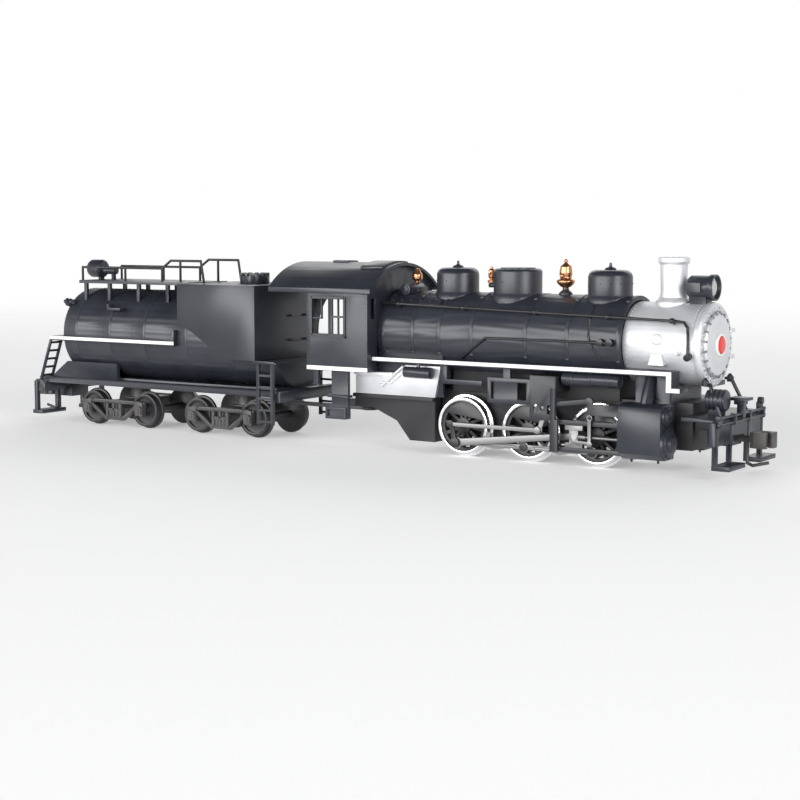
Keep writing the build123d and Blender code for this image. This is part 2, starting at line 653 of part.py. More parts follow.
def bell():
    foot = boiler_top()
    points = [(0, foot - 0.35), (1.7, foot - 0.3), (1.7, foot + 0.4), (0.9, foot + 0.8), (1.1, foot + 1.4),
              (2.2, foot + 2.6), (2.2, foot + 3.4), (1.5, foot + 4.0), (1.6, foot + 5.6), (1.5, foot + 6.8),
              (0.9, foot + 7.6), (0.35, foot + 8.0), (0.35, foot + 8.6), (0, foot + 8.9)]
    return turned(points, 5.2, 0) - boiler_outside()


TURRET_X = -39.6
TURRET_TOP = BOILER_Z + BOILER_R + 2.0


def turret():
    """Steam turret across the boiler ahead of the cab, on a low block."""
    box = block((TURRET_X - 1.8, TURRET_X + 1.8), (-2.2, 2.2), (BOILER_Z + BOILER_R - 0.8, TURRET_TOP - 1.0))
    box += along_y(1.5, TURRET_X, (-6.0, 1.8), TURRET_TOP - 1.55)
    for y in (-6.4, 1.7):
        box += along_y(1.05, TURRET_X, (y, y + 0.6), TURRET_TOP - 1.55)
    return box


def brass_valves():
    """Whistle, and the pop valve on its turret ahead of the cab."""
    foot = WHISTLE_FOOT
    whistle = turned([(0, foot), (1.1, foot), (1.1, foot + 0.6), (0.5, foot + 0.9), (0.9, foot + 1.5),
                      (0.9, foot + 3.2), (0.4, foot + 3.7), (0.3, foot + 4.2), (0, foot + 4.3)], WHISTLE_X, 0)
    whistle += along_y(0.35, WHISTLE_X, (-1.5, 1.5), foot + 2.6)
    foot = TURRET_TOP
    valve = turned([(0, foot), (0.7, foot), (0.7, foot + 0.6), (1.4, foot + 1.1), (1.4, foot + 2.3),
                    (0.9, foot + 3.1), (0.6, foot + 3.8), (0, foot + 3.9)], TURRET_X, 0)
    return [whistle, valve]


HEADLIGHT_R = 3.2
HEADLIGHT_Z = 44.15


def headlight():
    """Lamp housing with visor on a bracket over the smokebox front."""
    body = [(38.9, 0), (38.9, 2.3), (39.6, 2.9), (44.6, 2.9), (44.6, HEADLIGHT_R), (45.9, HEADLIGHT_R),
            (45.9, 2.75), (44.9, 2.5), (44.9, 0)]
    lamp = turned_x(body, 0, HEADLIGHT_Z)
    lamp += block((39.6, 44.0), (-1.9, 1.9), (39.8, 42.0))
    for y in ((-3.6, -2.2), (2.2, 3.6)):
        lamp += block((39.7, 43.2), y, (HEADLIGHT_Z - 1.0, HEADLIGHT_Z + 1.2))
    return lamp - along_x(SMOKEBOX_R + 0.12, (30, 50), 0, BOILER_Z)


def headlight_lens():
    return turned_x([(44.92, 0), (44.92, 2.4), (45.1, 2.4), (45.5, 1.4), (45.6, 0)], 0, HEADLIGHT_Z)


RAIL_R = 0.35
HANDRAIL_Y = -10.1
HANDRAIL_X = (-44.2, 39.9)
HANDRAIL_Z = (38.7, 36.4)      # it falls a little towards the front


def handrail_z(x):
    share = (x - HANDRAIL_X[0]) / (HANDRAIL_X[1] - HANDRAIL_X[0])
    return HANDRAIL_Z[0] + share * (HANDRAIL_Z[1] - HANDRAIL_Z[0])


def round_boiler(x, radius, degrees_up):
    """A point on the right side at a radius and an angle above the boiler's centre line."""
    a = radians(degrees_up)
    return x, -radius * cos(a), BOILER_Z + radius * sin(a)


def handrails():
    """Boiler handrails on stanchions, turning down ahead of the stack."""
    off = SMOKEBOX_R + 1.05
    bend = [(41.8, 31), (43.0, 24), (43.4, 14), (43.4, -13)]
    line = [(x, HANDRAIL_Y, handrail_z(x)) for x in HANDRAIL_X]
    line += [round_boiler(x, off, angle) for x, angle in bend]
    one = rail(line, RAIL_R)
    end, low_angle = bend[-1]
    one += bar(round_boiler(end, SMOKEBOX_R + 0.1, low_angle), round_boiler(end, off + 0.6, low_angle), 0.85)
    for x in (-39.0, -19.1, 1.9, 21.9, 39.0):
        z = handrail_z(x)
        angle = degrees(atan2(z - BOILER_Z, -HANDRAIL_Y))
        inner = BAND_RAISED + 0.03 + (BOILER_R if x < SMOKEBOX_REAR else SMOKEBOX_R)
        one += bar(round_boiler(x, inner, angle), (x, HANDRAIL_Y, z), 0.28)
        ends = [(place, HANDRAIL_Y, handrail_z(place)) for place in (x - 0.45, x + 0.45)]
        one += bar(*ends, 0.5)
    return both(one)


def boiler_piping():
    """Feed pipe with check valve, sand pipes, and the conduit low on the side."""
    off = BOILER_R + 0.45
    feed_path = [(-19.6, -28), (-11.5, 1), (19.0, 1)]
    feed = rail([round_boiler(x, off, angle) for x, angle in feed_path], 0.32)
    for x, reach in ((21.0, 0.9), (23.4, 0.5)):
        feed += along_y(0.95, x, (-off - reach, -off + 0.25), BOILER_Z + 0.3)
    feed += bar(round_boiler(18.5, off, 1), round_boiler(23.4, off, 1), 0.5)
    front_sand = [(17.0, 52), (17.2, 30), (17.4, 8), (18.6, -6), (20.6, -20)]
    rear_sand = [(-27.3, 52), (-27.3, 40)]
    for path in (front_sand, rear_sand):
        feed += rail([round_boiler(x, BOILER_R + 0.12, angle) for x, angle in path], 0.25)
    return both(feed - boiler_outside())


def running_boards():
    """Boards along the boiler with a deep white edge, and the step down at the front."""
    z = (BOARD_TOP - BOARD_THICK, BOARD_TOP)
    one = block((BOARD_REAR, BOARD_FRONT), (-BOARD_HALF, -7.6), z)
    one -= along_x(BOILER_R + 0.15, (-60, SMOKEBOX_REAR + 0.2), 0, BOILER_Z)
    one -= along_x(SMOKEBOX_R + 0.05, (SMOKEBOX_REAR - 0.2, 60), 0, BOILER_Z)
    one -= block((-60, -24.9), (-FIREBOX_HALF - 0.05, 0), (0, BOILER_Z))
    one -= steam_pipe(STEAM_PIPE_R + 0.1)
    one = one.solids().sort_by(Axis.Y)[0]
    one += block((BOARD_FRONT - 0.1, BOARD_FRONT + 1.2), (-BOARD_HALF, -9.0), (19.6, BOARD_TOP))
    one += block((BOARD_FRONT, BOARD_FRONT + 3.4), (-BOARD_HALF, -9.0), (19.6, 20.8))
    return both(one)


def firebox_sheets():
    """Riveted side sheets outside the firebox, with a stepped top flange."""
    y = (-FIREBOX_HALF - 0.9, -FIREBOX_HALF - 0.02)
    one = profile_xz([(-52.0, 14.4), (-27.0, 14.4), (-25.2, 22.6), (-36.0, 22.6), (-39.5, 20.4), (-52.0, 20.2)], y)
    one += block((-52.0, -39.8), (y[0] - 0.8, y[1]), (19.5, 20.3))
    return both(one)


def air_tanks():
    """Long banded reservoir, small tank and equaliser frame under each board."""
    y = -12.0
    long_z = 21.4
    long_tank = along_x(1.6, (11.3, 26.6), y, long_z)
    for x in (14.0, 19.0, 24.0):
        long_tank += along_x(1.75, (x - 0.35, x + 0.35), y, long_z)
        long_tank += block((x - 0.35, x + 0.35), (y - 0.3, y + 0.3), (long_z, BOARD_TOP - BOARD_THICK))
    small_tank = along_x(1.45, (-35.1, -27.0), -12.8, 20.9)
    small_tank += block((-31.5, -30.6), (-13.0, -12.4), (21.8, BOARD_TOP - BOARD_THICK))
    spring_frame = block((-11.0, 1.3), (-11.4, -10.3), (14.2, 20.6))
    spring_frame -= block((-10.0, 0.3), (-12, -10.0), (15.2, 19.6))
    spring_frame += block((-9.1, -2.4), (-11.2, -10.3), (15.0, 19.8))
    spring_frame += block((-6.6, -4.6), (-11.0, -10.3), (20.4, BOARD_TOP - BOARD_THICK))
    reach_rod = block((-24.5, -12.0), (-12.6, -12.0), (18.4, 19.6))
    reach_rod += block((-24.5, -22.5), (-12.6, -10.4), (18.4, BOARD_TOP - BOARD_THICK))
    group = []
    for piece in (long_tank, small_tank, spring_frame, reach_rod):
        group += both(piece)
    return group


def make_boiler():
    place("boiler_shell", boiler_shell())
    place("smokebox", smokebox())
    place("smokebox_front", smokebox_front())
    place("number_plate", number_plate())
    place("smokestack", smokestack())
    place("sand_domes", [dome(x, 5.6, 48.0, 1.9) + finial(x, 48.0) for x in (-26.8, 17.7)])
    place("steam_dome", steam_dome())
    place("bell", bell())
    place("brass_valves", brass_valves())
    place("headlight", headlight())
    place("headlight_lens", headlight_lens())
    place("handrails", handrails())
    place("boiler_piping", boiler_piping())
    place("running_boards", running_boards())
    place("firebox_sheets", firebox_sheets())
    place("air_tanks", air_tanks())


# ---- cab ----------------------------------------------------------------------------
ROOF_RISE = ROOF_PEAK - ROOF_EDGE_Z
ROOF_RADIUS = (ROOF_HALF ** 2 + ROOF_RISE ** 2) / (2 * ROOF_RISE)
ROOF_CENTRE_Z = ROOF_PEAK - ROOF_RADIUS


DOORWAY_HALF = 6.2


def cab():
    """Side walls with windows, front wall round the boiler, rear wall with doorway, floor and steps."""
    width = (-CAB_HALF, CAB_HALF)
    outer = block((CAB_REAR, CAB_FRONT), width, (CAB_BOTTOM, ROOF_PEAK + 5))
    outer &= along_x(ROOF_RADIUS - ROOF_THICK - 0.01, (CAB_REAR - 5, CAB_FRONT + 5), 0, ROOF_CENTRE_Z)
    inside_y = (-CAB_HALF + CAB_WALL, CAB_HALF - CAB_WALL)
    shell = outer - block((CAB_REAR + CAB_WALL, CAB_FRONT - CAB_WALL), inside_y, (CAB_BOTTOM + 1.2, 60))
    shell -= block((CAB_REAR - 1, CAB_REAR + 1), (-DOORWAY_HALF, DOORWAY_HALF), (CAB_BOTTOM + 1.2, 45.0))
    shell -= along_x(BOILER_R + 0.15, (CAB_REAR - 1, 0), 0, BOILER_Z)
    shell -= block((BACKHEAD_X - 1, 0), (-BOILER_R - 0.15, BOILER_R + 0.15), (0, BOILER_Z))
    shell -= block((-62.8, -52.6), (-20, 20), (30.3, 39.5))
    for y in (-13.2, 13.2):
        shell -= block((CAB_FRONT - 2, CAB_FRONT + 1), (y - 1.0, y + 1.0), (34.5, 39.8))
    for side in (1, -1):
        inset = (-15.95 * side, -15.45 * side)
        shell += block((-57.7, -56.3), inset, (30.2, 39.6)) + block((-54.7, -54.3), inset, (30.2, 39.6))
        shell += block((-57.4, -52.5), inset, (34.6, 35.1))
        shell += block((-60.1, -59.7), inset, (34.2, 39.6)) + block((-62.9, -59.7), inset, (34.2, 34.6))
        shell += cab_step(side)
    return shell


def cab_step(side):
    """Hanger with two step plates below the cab floor."""
    step = block((-57.6, -52.2), (-14.6 * side, -13.6 * side), (9.0, CAB_BOTTOM + 0.2))
    step += block((-58.6, -51.8), (-15.3 * side, -13.0 * side), (13.2, 13.9))
    low_step = block((-59.2, -52.6), (-15.3 * side, -12.8 * side), (7.4, 10.6))
    low_step -= block((-58.6, -53.2), (-15.4 * side, -14.7 * side), (8.1, 9.9))
    hanger = block((-63.2, -61.6), (-15.2 * side, -14.2 * side), (16.4, CAB_BOTTOM + 0.2))
    return step + low_step + hanger


def roof_arc(radius_out, x):
    """A curved plate concentric with the roof."""
    shape = along_x(ROOF_RADIUS + radius_out, x, 0, ROOF_CENTRE_Z)
    return shape - along_x(ROOF_RADIUS - ROOF_THICK, (x[0] - 1, x[1] + 1), 0, ROOF_CENTRE_Z)


def cab_roof():
    """Arched roof with drip edge, sliding hatch cover and rain strip."""
    length = (ROOF_REAR, ROOF_FRONT)
    roof = roof_arc(0, length)
    roof &= block((ROOF_REAR - 1, ROOF_FRONT + 1), (-ROOF_HALF, ROOF_HALF), (ROOF_EDGE_Z - 0.9, 60))
    for y in ((-ROOF_HALF, -16.2), (16.2, ROOF_HALF)):
        roof += block(length, y, (EAVE_Z, ROOF_EDGE_Z + 0.05))
    hatch = roof_arc(0.5, (-52.3, -45.2)) & block((-60, -40), (-8.5, 4.0), (EAVE_Z, 60))
    vent = roof_arc(0.45, (-66.0, -61.0)) & block((-70, -60), (-2.0, 3.0), (EAVE_Z, 60))
    return roof + hatch + vent


def make_cab():
    place("cab", cab())
    place("cab_roof", cab_roof())


# ---- pilot and couplers ---------------------------------------------------------------
def coupler(direction, x_end):
    """Knuckle coupler: shank with pivot hole, head with knuckle, and trip pin."""
    x_face = x_end
    d = direction
    shank = block((x_face - 12.5 * d, x_face - 3.0 * d), (-0.9, 0.9), (COUPLER_Z - 0.7, COUPLER_Z + 0.7))
    shank += along_z(1.7, x_face - 12.5 * d, 0, (COUPLER_Z - 0.7, COUPLER_Z + 0.7))
    shank -= along_z(0.8 + FIT, x_face - 12.5 * d, 0, (COUPLER_Z - 3, COUPLER_Z + 3))
    tall = (COUPLER_Z - 1.9, COUPLER_Z + 1.9)
    shank += block((x_face - 5.0 * d, x_face - 3.0 * d), (-2.2, 2.2), tall)
    shank += block((x_face - 4.0 * d, x_face - 0.9 * d), (-2.6 * d, -1.3 * d), tall)
    shank += block((x_face - 3.2 * d, x_face), (1.5 * d, 2.6 * d), tall)
    shank += block((x_face - 1.3 * d, x_face), (0.2 * d, 2.6 * d), tall)
    pin = rail([(x_face - 6.4 * d, 0, COUPLER_Z), (x_face - 6.4 * d, 0, 2.4), (x_face - 5.0 * d, 0, 1.8),
                (x_face - 1.0 * d, 0, 2.8)], 0.4)
    return shank + pin


def coupler_box(direction, x_end):
    """Pocket that holds the coupler's pivot pin, open at the outer end."""
    d = direction
    x0, x1 = x_end - 15.2 * d, x_end - 9.4 * d
    pocket = block((x0, x1), (-3.6, 3.6), (COUPLER_Z - 1.7, COUPLER_Z + 1.7))
    pocket -= block((x0 + 0.7 * d, x1 + 1.0 * d), (-2.9, 2.9), (COUPLER_Z - 0.8, COUPLER_Z + 0.8))
    pocket += along_z(0.8, x_end - 12.5 * d, 0, (COUPLER_Z - 1.2, COUPLER_Z + 1.2))
    return pocket


BOARD_LOW = 2.0                  # underside of the footboards


def footboards(x_beam, d, reach):
    """Hangers and boards below a beam, both sides."""
    step = block((x_beam, x_beam + 1.1 * d), (-14.7, -13.4), (BOARD_LOW + 0.9, 12.0))
    step += block((x_beam, x_beam + 1.1 * d), (-6.1, -4.9), (BOARD_LOW + 0.9, 12.0))
    x = (x_beam + 1.1 * d - reach[0] * d, x_beam + 1.1 * d + reach[1] * d)
    step += block(x, (-14.9, -4.8), (BOARD_LOW, BOARD_LOW + 1.1))
    return step + mirrored(step)


def pilot():
    """Front deck, buffer beam, coupler pocket and footboards."""
    beam = block((BEAM_X - 0.6, BEAM_X + 1.0), (-BEAM_HALF, BEAM_HALF), (7.6, 13.2))
    deck = block((43.2, BEAM_X + 0.4), (-BEAM_HALF + 1.5, BEAM_HALF - 1.5), (DECK_Z, DECK_Z + 1.0))
    beam += deck + footboards(BEAM_X, 1, (1.1, 3.4)) + coupler_box(1, FRONT_END)
    beam -= block((FRONT_END - 14.5, FRONT_END - 8), (-2.9, 2.9), (COUPLER_Z - 0.8, COUPLER_Z + 0.8))
    return beam + along_z(0.8, FRONT_END - 12.5, 0, (COUPLER_Z - 1.2, COUPLER_Z + 1.2))


PUMP_Z = 17.7


def pilot_fittings():
    """Air pump cylinder, lamp pedestal, braces, uncoupling lever and marker."""
    pump = along_x(2.4, (46.9, 51.6), -6.0, PUMP_Z)
    for k in range(4):
        pump += along_x(2.65, (47.4 + 1.1 * k, 47.9 + 1.1 * k), -6.0, PUMP_Z)
    pump += block((47.4, 50.8), (-7.2, -4.8), (14.02, PUMP_Z - 1.8))
    pedestal = block((52.05, 53.7), (-0.8, 0.8), (13.25, 17.6)) + block((50.4, 55.0), (-2.0, 2.0), (17.4, 18.1))
    pedestal += block((51.4, 54.0), (-1.2, 1.2), (16.4, 17.5))
    lever = bar((BEAM_X + 1.5, -14.6, 14.2), (BEAM_X + 1.5, 14.6, 14.2), 0.36)
    lever += bar((BEAM_X + 1.5, -14.6, 12.6), (BEAM_X + 1.5, 14.6, 12.6), 0.36)
    for y in (-13.6, -4.6, 4.6, 13.6):
        lever += block((BEAM_X + 0.6, BEAM_X + 1.9), (y - 0.45, y + 0.45), (12.0, 14.7))
    lever -= block((BEAM_X - 2, BEAM_X + 1.02), (-20, 20), (0, 13.2))
    post = block((BEAM_X + 0.42, BEAM_X + 1.1), (11.6, 14.6), (13.22, 15.9))
    post += along_x(0.9, (BEAM_X + 0.42, BEAM_X + 1.6), 13.1, 16.2)
    brace = bar((47.5, -6.8, 21.6), (51.2, -8.4, 13.5), 0.45)
    brace = brace - block((40, 60), (-20, 20), (0, 14.02))
    return [pump + brace, mirrored(brace), pedestal + lever + post]


def make_ends():
    place("pilot", pilot())
    place("pilot_fittings", pilot_fittings())
    place("front_coupler", coupler(1, FRONT_END))
    place("rear_coupler", coupler(-1, REAR_END))


# ---- tender ------------------------------------------------------------------------------
TANK_BAND = 0.1


def tank_outside(extra):
    """The tank's round body with its dished rear end, grown by a small gap."""
    radius = TANK_R + extra
    points = [(TANK_FRONT + extra, 0), (TANK_FRONT + extra, radius), (TANK_REAR, radius)]
    for k in range(1, 9):
        a = radians(90 / 8 * k)
        points.append((TANK_REAR - (TANK_DISH + extra) * sin(a), radius * cos(a)))
    return turned_x(points, 0, TANK_Z)


def tender_tank():
    """Cylindrical tank, cut down in front of the bunker and flattened on the floor."""
    tank = tank_outside(0)
    for x in (-153.0, -139.5, -126.0, -110.0, -94.0):
        tank += along_x(TANK_R + TANK_BAND, (x - 0.5, x + 0.5), 0, TANK_Z)
    tank -= block((BUNKER_FRONT - BUNKER_PLATE - 0.02, -60), (-20, 20), (FOOTPLATE_Z, 60))
    return tank - block((-180, -60), (-10, 10), (0, SILL_TOP + 0.55))


def fuel_bunker():
    """Rectangular bunker saddled over the front of the tank."""
    outline = [(BUNKER_REAR, BUNKER_TOP), (BUNKER_FRONT, BUNKER_TOP), (BUNKER_FRONT, BUNKER_BOTTOM),
               (-95.0, BUNKER_BOTTOM), (BUNKER_REAR + 5.0, 29.0), (BUNKER_REAR, 31.0)]
    shape = profile_xz(outline, (-BUNKER_HALF, BUNKER_HALF))
    shape -= along_x(TANK_R + 0.12, (-200, 0), 0, TANK_Z)
    x = (BUNKER_FRONT - BUNKER_PLATE, BUNKER_FRONT)
    return shape + block(x, (-BUNKER_HALF, BUNKER_HALF), (BUNKER_BOTTOM, BUNKER_TOP))


def tender_frame():
    """Floor, side sills, rear deck box, end beams, coupler pocket and bolsters."""
    floor = block((TENDER_BEAM_X + 0.5, -76.0), (-12.8, 12.8), (SILL_BOTTOM, SILL_TOP))
    saddle = block((-157.0, -80.0), (-9.6, 9.6), (SILL_TOP - 0.5, SILL_TOP + 3))
    saddle -= along_x(TANK_R + 0.12, (-200, 0), 0, TANK_Z)
    saddle -= block((-158, -79), (-10, 10), (SILL_TOP + 0.54, 40))
    box_side = profile_xz([(-165.6, 13.0), (-138.5, 13.0), (-138.5, 18.2), (-158.5, 18.2)], (-11.4, 11.4))
    box_side -= tank_outside(TANK_BAND + 0.05)
    box_side -= block((-162.0, 0), (-9.98, 9.98), (SILL_TOP + 0.54, 40))
    frame = floor + saddle + box_side
    frame += block((TENDER_BEAM_X, TENDER_BEAM_X + 3.8), (-14.0, 14.0), (8.8, 12.4))
    frame += block((-78.5, -76.0), (-13.4, 13.4), (10.4, SILL_TOP + 0.2))
    frame += footboards(TENDER_BEAM_X + 1.1, -1, (3.4, 0.6))
    for x in TRUCK_X:
        frame += along_z(3.2, x, 0, (10.7, SILL_BOTTOM + 0.1))
        frame += along_z(1.2, x, 0, (8.4, SILL_BOTTOM + 0.1))
        frame += along_z(2.0, x, 0, (7.75, 8.45))
    frame += coupler_box(-1, REAR_END)
    frame -= block((REAR_END + 8, REAR_END + 14.5), (-2.9, 2.9), (COUPLER_Z - 0.8, COUPLER_Z + 0.8))
    frame += along_z(0.8, REAR_END + 12.5, 0, (COUPLER_Z - 1.2, COUPLER_Z + 1.2))
    frame += along_z(1.0, DRAWBAR_TENDER_X, 0, (DRAWBAR_Z - 1.0, SILL_BOTTOM + 0.1))
    return frame


def tender_walkways():
    """Side walkways with deep edges, rear platform, ladders and front steps."""
    z = (WALK_Z - 1.3, WALK_Z)
    board = block((-162.6, -113.3), (-14.6, 14.6), z)
    board -= tank_outside(TANK_BAND + 0.05)
    ladder = bar((-162.4, -14.0, WALK_Z - 0.6), (-167.2, -14.0, 12.2), 0.48)
    ladder += bar((-162.4, -9.6, WALK_Z - 0.6), (-167.2, -9.6, 12.2), 0.48)
    for k in range(5):
        t = (k + 0.6) / 5.2
        x, zr = -162.4 - 4.8 * t, WALK_Z - 0.6 - (WALK_Z - 12.8) * t
        ladder += bar((x, -14.0, zr), (x, -9.6, zr), 0.36)
    ladder -= block((-170, -160), (-20, 20), (0, 12.42)) + block((-170, -160), (-12.9, 12.9), (0, SILL_TOP + 0.02))
    ladder -= block((-170, -160), (-20, 20), z)
    footplate = block((BUNKER_FRONT + 0.05, -76.2), (-15.0, 15.0), (FOOTPLATE_Z + 0.02, FOOTPLATE_Z + 0.5))
    front = block((-83.0, -82.1), (-15.0, -14.2), (4.2, FOOTPLATE_Z + 0.1))
    front += block((-78.1, -77.2), (-15.0, -14.2), (4.2, FOOTPLATE_Z + 0.1))
    for k in range(5):
        front += block((-82.6, -77.6), (-15.0, -14.2), (17.5 - 3.2 * k, 18.1 - 3.2 * k))
    front += block((-83.6, -76.6), (-15.3, -13.5), (FOOTPLATE_Z, FOOTPLATE_Z + 0.8))
    front += block((-77.9, -77.3), (-14.6, -13.42), (11.9, 12.9))
    bracket = block((-114.3, -113.3), (-14.6, -13.45), (WALK_Z - 0.1, WALK_Z + 3.4))
    step = block((-139.8, -134.6), (-13.8, -11.2), (34.2, 34.9)) + block((-139.8, -139.0), (-13.8, -11.2), (34.2, 36.0))
    step -= tank_outside(TANK_BAND + 0.05)
    board += bracket + mirrored(bracket)
    return [board, footplate + front + mirrored(front)] + both(ladder) + both(step)


HATCH_X = -95.0
DECK_TOP = 42.7


def tender_deck():
    """Top deck on posts, filler hatch, backup lamp, and brake wheel on its post."""
    deck = block((-155.4, BUNKER_REAR - 0.1), (-8.9, 8.9), (DECK_TOP - 0.9, DECK_TOP))
    for x in (-153.4, -143.9, -132.3, -121.1):
        for y in (-8.9, 8.0):
            deck += block((x, x + 1.1), (y, y + 0.9), (34.0, DECK_TOP - 0.1))
    deck -= along_x(TANK_R + 0.12, (-200, 0), 0, TANK_Z)
    hatch = along_z(4.2, HATCH_X, 0, (BUNKER_TOP + 0.02, 44.7))
    for k in range(12):
        lug = Pos(HATCH_X, 0, 0) * Rot(0, 0, 30 * k) * block((3.2, 4.2), (-0.5, 0.5), (44.6, 45.6))
        hatch += lug
    lamp = turned_x([(-158.6, 0), (-158.6, 2.3), (-157.9, 2.7), (-154.0, 2.7), (-153.4, 2.2), (-153.4, 0)], 0, 46.0)
    lamp += along_x(1.1, (-153.6, -148.5), 0, 45.4) + block((-155.2, -154.2), (-0.8, 0.8), (DECK_TOP + 0.02, 44.2))
    lamp += block((-150.0, -149.2), (-0.6, 0.6), (DECK_TOP + 0.02, 45.0))
    hub = (BUNKER_FRONT + 1.6, -11.4, 37.0)
    wheel = Pos(*hub) * Rot(0, 90, 0) * Torus(2.3, 0.35)
    wheel += along_x(0.7, (BUNKER_FRONT + 0.02, BUNKER_FRONT + 2.2), hub[1], hub[2])
    for k in range(3):
        turn = Pos(*hub) * Rot(60 * k, 0, 0)
        wheel += turn * bar((0, -2.3, 0), (0, 2.3, 0), 0.26)
    return [deck, hatch, lamp, wheel]


TENDER_RAIL_R = 0.36


def tender_handrails():
    """A stepped rail on posts along each side of the top deck."""
    low_z, high_z = 46.6, 48.9
    end = -106.8
    top_line = [(-154.2, DECK_TOP), (-154.2, low_z), (-122.6, low_z), (-119.2, high_z), (end - 1.1, high_z),
                (end, BUNKER_TOP + 0.12)]
    one = rail([(x, -8.5, z) for x, z in top_line], TENDER_RAIL_R)
    for x, z in ((-137.0, low_z), (-122.6, low_z), (-115.6, high_z)):
        one += bar((x, -8.5, DECK_TOP), (x, -8.5, z), TENDER_RAIL_R)
    return both(one)


def drawbar():
    """Flat link between engine and tender, with the engine's pin on it."""
    z = (DRAWBAR_Z - 0.4, DRAWBAR_Z + 0.4)
    bar_shape = block((DRAWBAR_TENDER_X, DRAWBAR_ENGINE_X), (-1.6, 1.6), z)
    for x in (DRAWBAR_TENDER_X, DRAWBAR_ENGINE_X):
        bar_shape += along_z(2.2, x, 0, z)
    head = ARM_BOTTOM + 2.06
    bar_shape += along_z(1.0, DRAWBAR_ENGINE_X, 0, (z[0], head + 0.5))
    bar_shape += along_z(1.6, DRAWBAR_ENGINE_X, 0, (head, head + 0.7))
    return bar_shape - along_z(1.0 + FIT, DRAWBAR_TENDER_X, 0, (0, 20))


SIDE_FRAME_Y = (-12.3, -10.7)


def truck_side(x):
    """Right-hand arch-bar side frame with journal boxes, columns and coil springs."""
    half = TRUCK_WHEELBASE / 2
    y = SIDE_FRAME_Y
    side = tapered_rod((x - half, 7.0), (x + half, 7.0), (y[0] + 0.1, y[1] - 0.1), 0.5, 0.5, 0.5, 0.5)
    for s in (-1, 1):
        side += tapered_rod((x + s * half, 6.8), (x + s * 3.2, 1.9), (y[0] + 0.1, y[1] - 0.1), 0.5, 0.5, 0.5, 0.5)
        side += block((x + s * half - 1.4, x + s * half + 1.4), (y[0] - 0.4, y[1]), (TRUCK_WHEEL_R - 1.5, 7.3))
        side += block((x + s * 2.6 - 0.4, x + s * 2.6 + 0.4), y, (1.6, 7.2))
    side += block((x - 3.4, x + 3.4), y, (1.5, 2.4))
    side += block((x - 2.8, x + 2.8), (y[0], y[1]), (4.2, 5.0))
    for s in (-1, 1):
        side += along_z(0.95, x + s * 1.15, (y[0] + y[1]) / 2, (2.2, 4.4))
    return side


def truck_frame(x):
    """Both side frames joined by the bolster that swivels on the tender's pin."""
    whole = truck_side(x)
    whole += mirrored(whole)
    bolster = block((x - 2.6, x + 2.6), (-11.0, 11.0), (4.9, 7.2))
    bolster += block((x - 3.4, x + 3.4), (-3.4, 3.4), (4.9, 7.6))
    bolster += along_z(2.9, x, 0, (7.0, 10.6))
    bolster -= along_z(1.2 + FIT, x, 0, (7.0, 12.0))
    bolster -= along_z(2.1, x, 0, (6.0, 8.5))
    whole += bolster
    for s in (-1, 1):
        for side in (-1, 1):
            whole -= along_y(0.75 + FIT, x + s * TRUCK_WHEELBASE / 2, (side * 12.2, side * 9), TRUCK_WHEEL_R)
    return whole


def wheelset(x):
    """Two turned wheels pressed on a plain axle."""
    wheel = along_y(TRUCK_WHEEL_R, x, (-WHEEL_FACE, -WHEEL_BACK), TRUCK_WHEEL_R)
    wheel += along_y(TRUCK_WHEEL_R + FLANGE_DEPTH, x, (-WHEEL_BACK - FLANGE_WIDTH, -WHEEL_BACK), TRUCK_WHEEL_R)
    dish = along_y(TRUCK_WHEEL_R - 0.9, x, (-WHEEL_FACE - 1, -WHEEL_FACE + 0.7), TRUCK_WHEEL_R)
    wheel -= dish - along_y(1.7, x, (-WHEEL_FACE - 2, -WHEEL_FACE + 2), TRUCK_WHEEL_R)
    axle = along_y(1.0, x, (-WHEEL_FACE + 0.2, WHEEL_FACE - 0.2), TRUCK_WHEEL_R)
    axle += along_y(0.75, x, (-12.0, 12.0), TRUCK_WHEEL_R)
    return wheel + mirrored(wheel) + axle


def make_tender():
    place("tender_tank", tender_tank())
    place("fuel_bunker", fuel_bunker())
    place("tender_frame", tender_frame())
    place("tender_walkways", tender_walkways())
    place("tender_deck", tender_deck())
    place("tender_handrails", tender_handrails())
    place("drawbar", drawbar())
    for name, x in (("rear_truck", TRUCK_X[0]), ("front_truck", TRUCK_X[1])):
        place(name, truck_frame(x))
        place(name + "_rear_wheelset", wheelset(x - TRUCK_WHEELBASE / 2))
        place(name + "_front_wheelset", wheelset(x + TRUCK_WHEELBASE / 2))


make_chassis()
make_drivers()
make_rods()
make_boiler()
make_cab()
make_ends()
make_tender()

os.makedirs("parts", exist_ok=True)
for old_file in os.listdir("parts"):
    os.remove(os.path.join("parts", old_file))
for name, solids in NODES.items():
    export_step(Compound(children=solids) if len(solids) > 1 else solids[0], "parts/" + name + ".step")
    print(name, len(solids), "solids")
print(len(NODES), "nodes")
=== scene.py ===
import json
import bmesh
import bpy
from math import cos, pi, radians, sin
from mathutils import Matrix, Vector


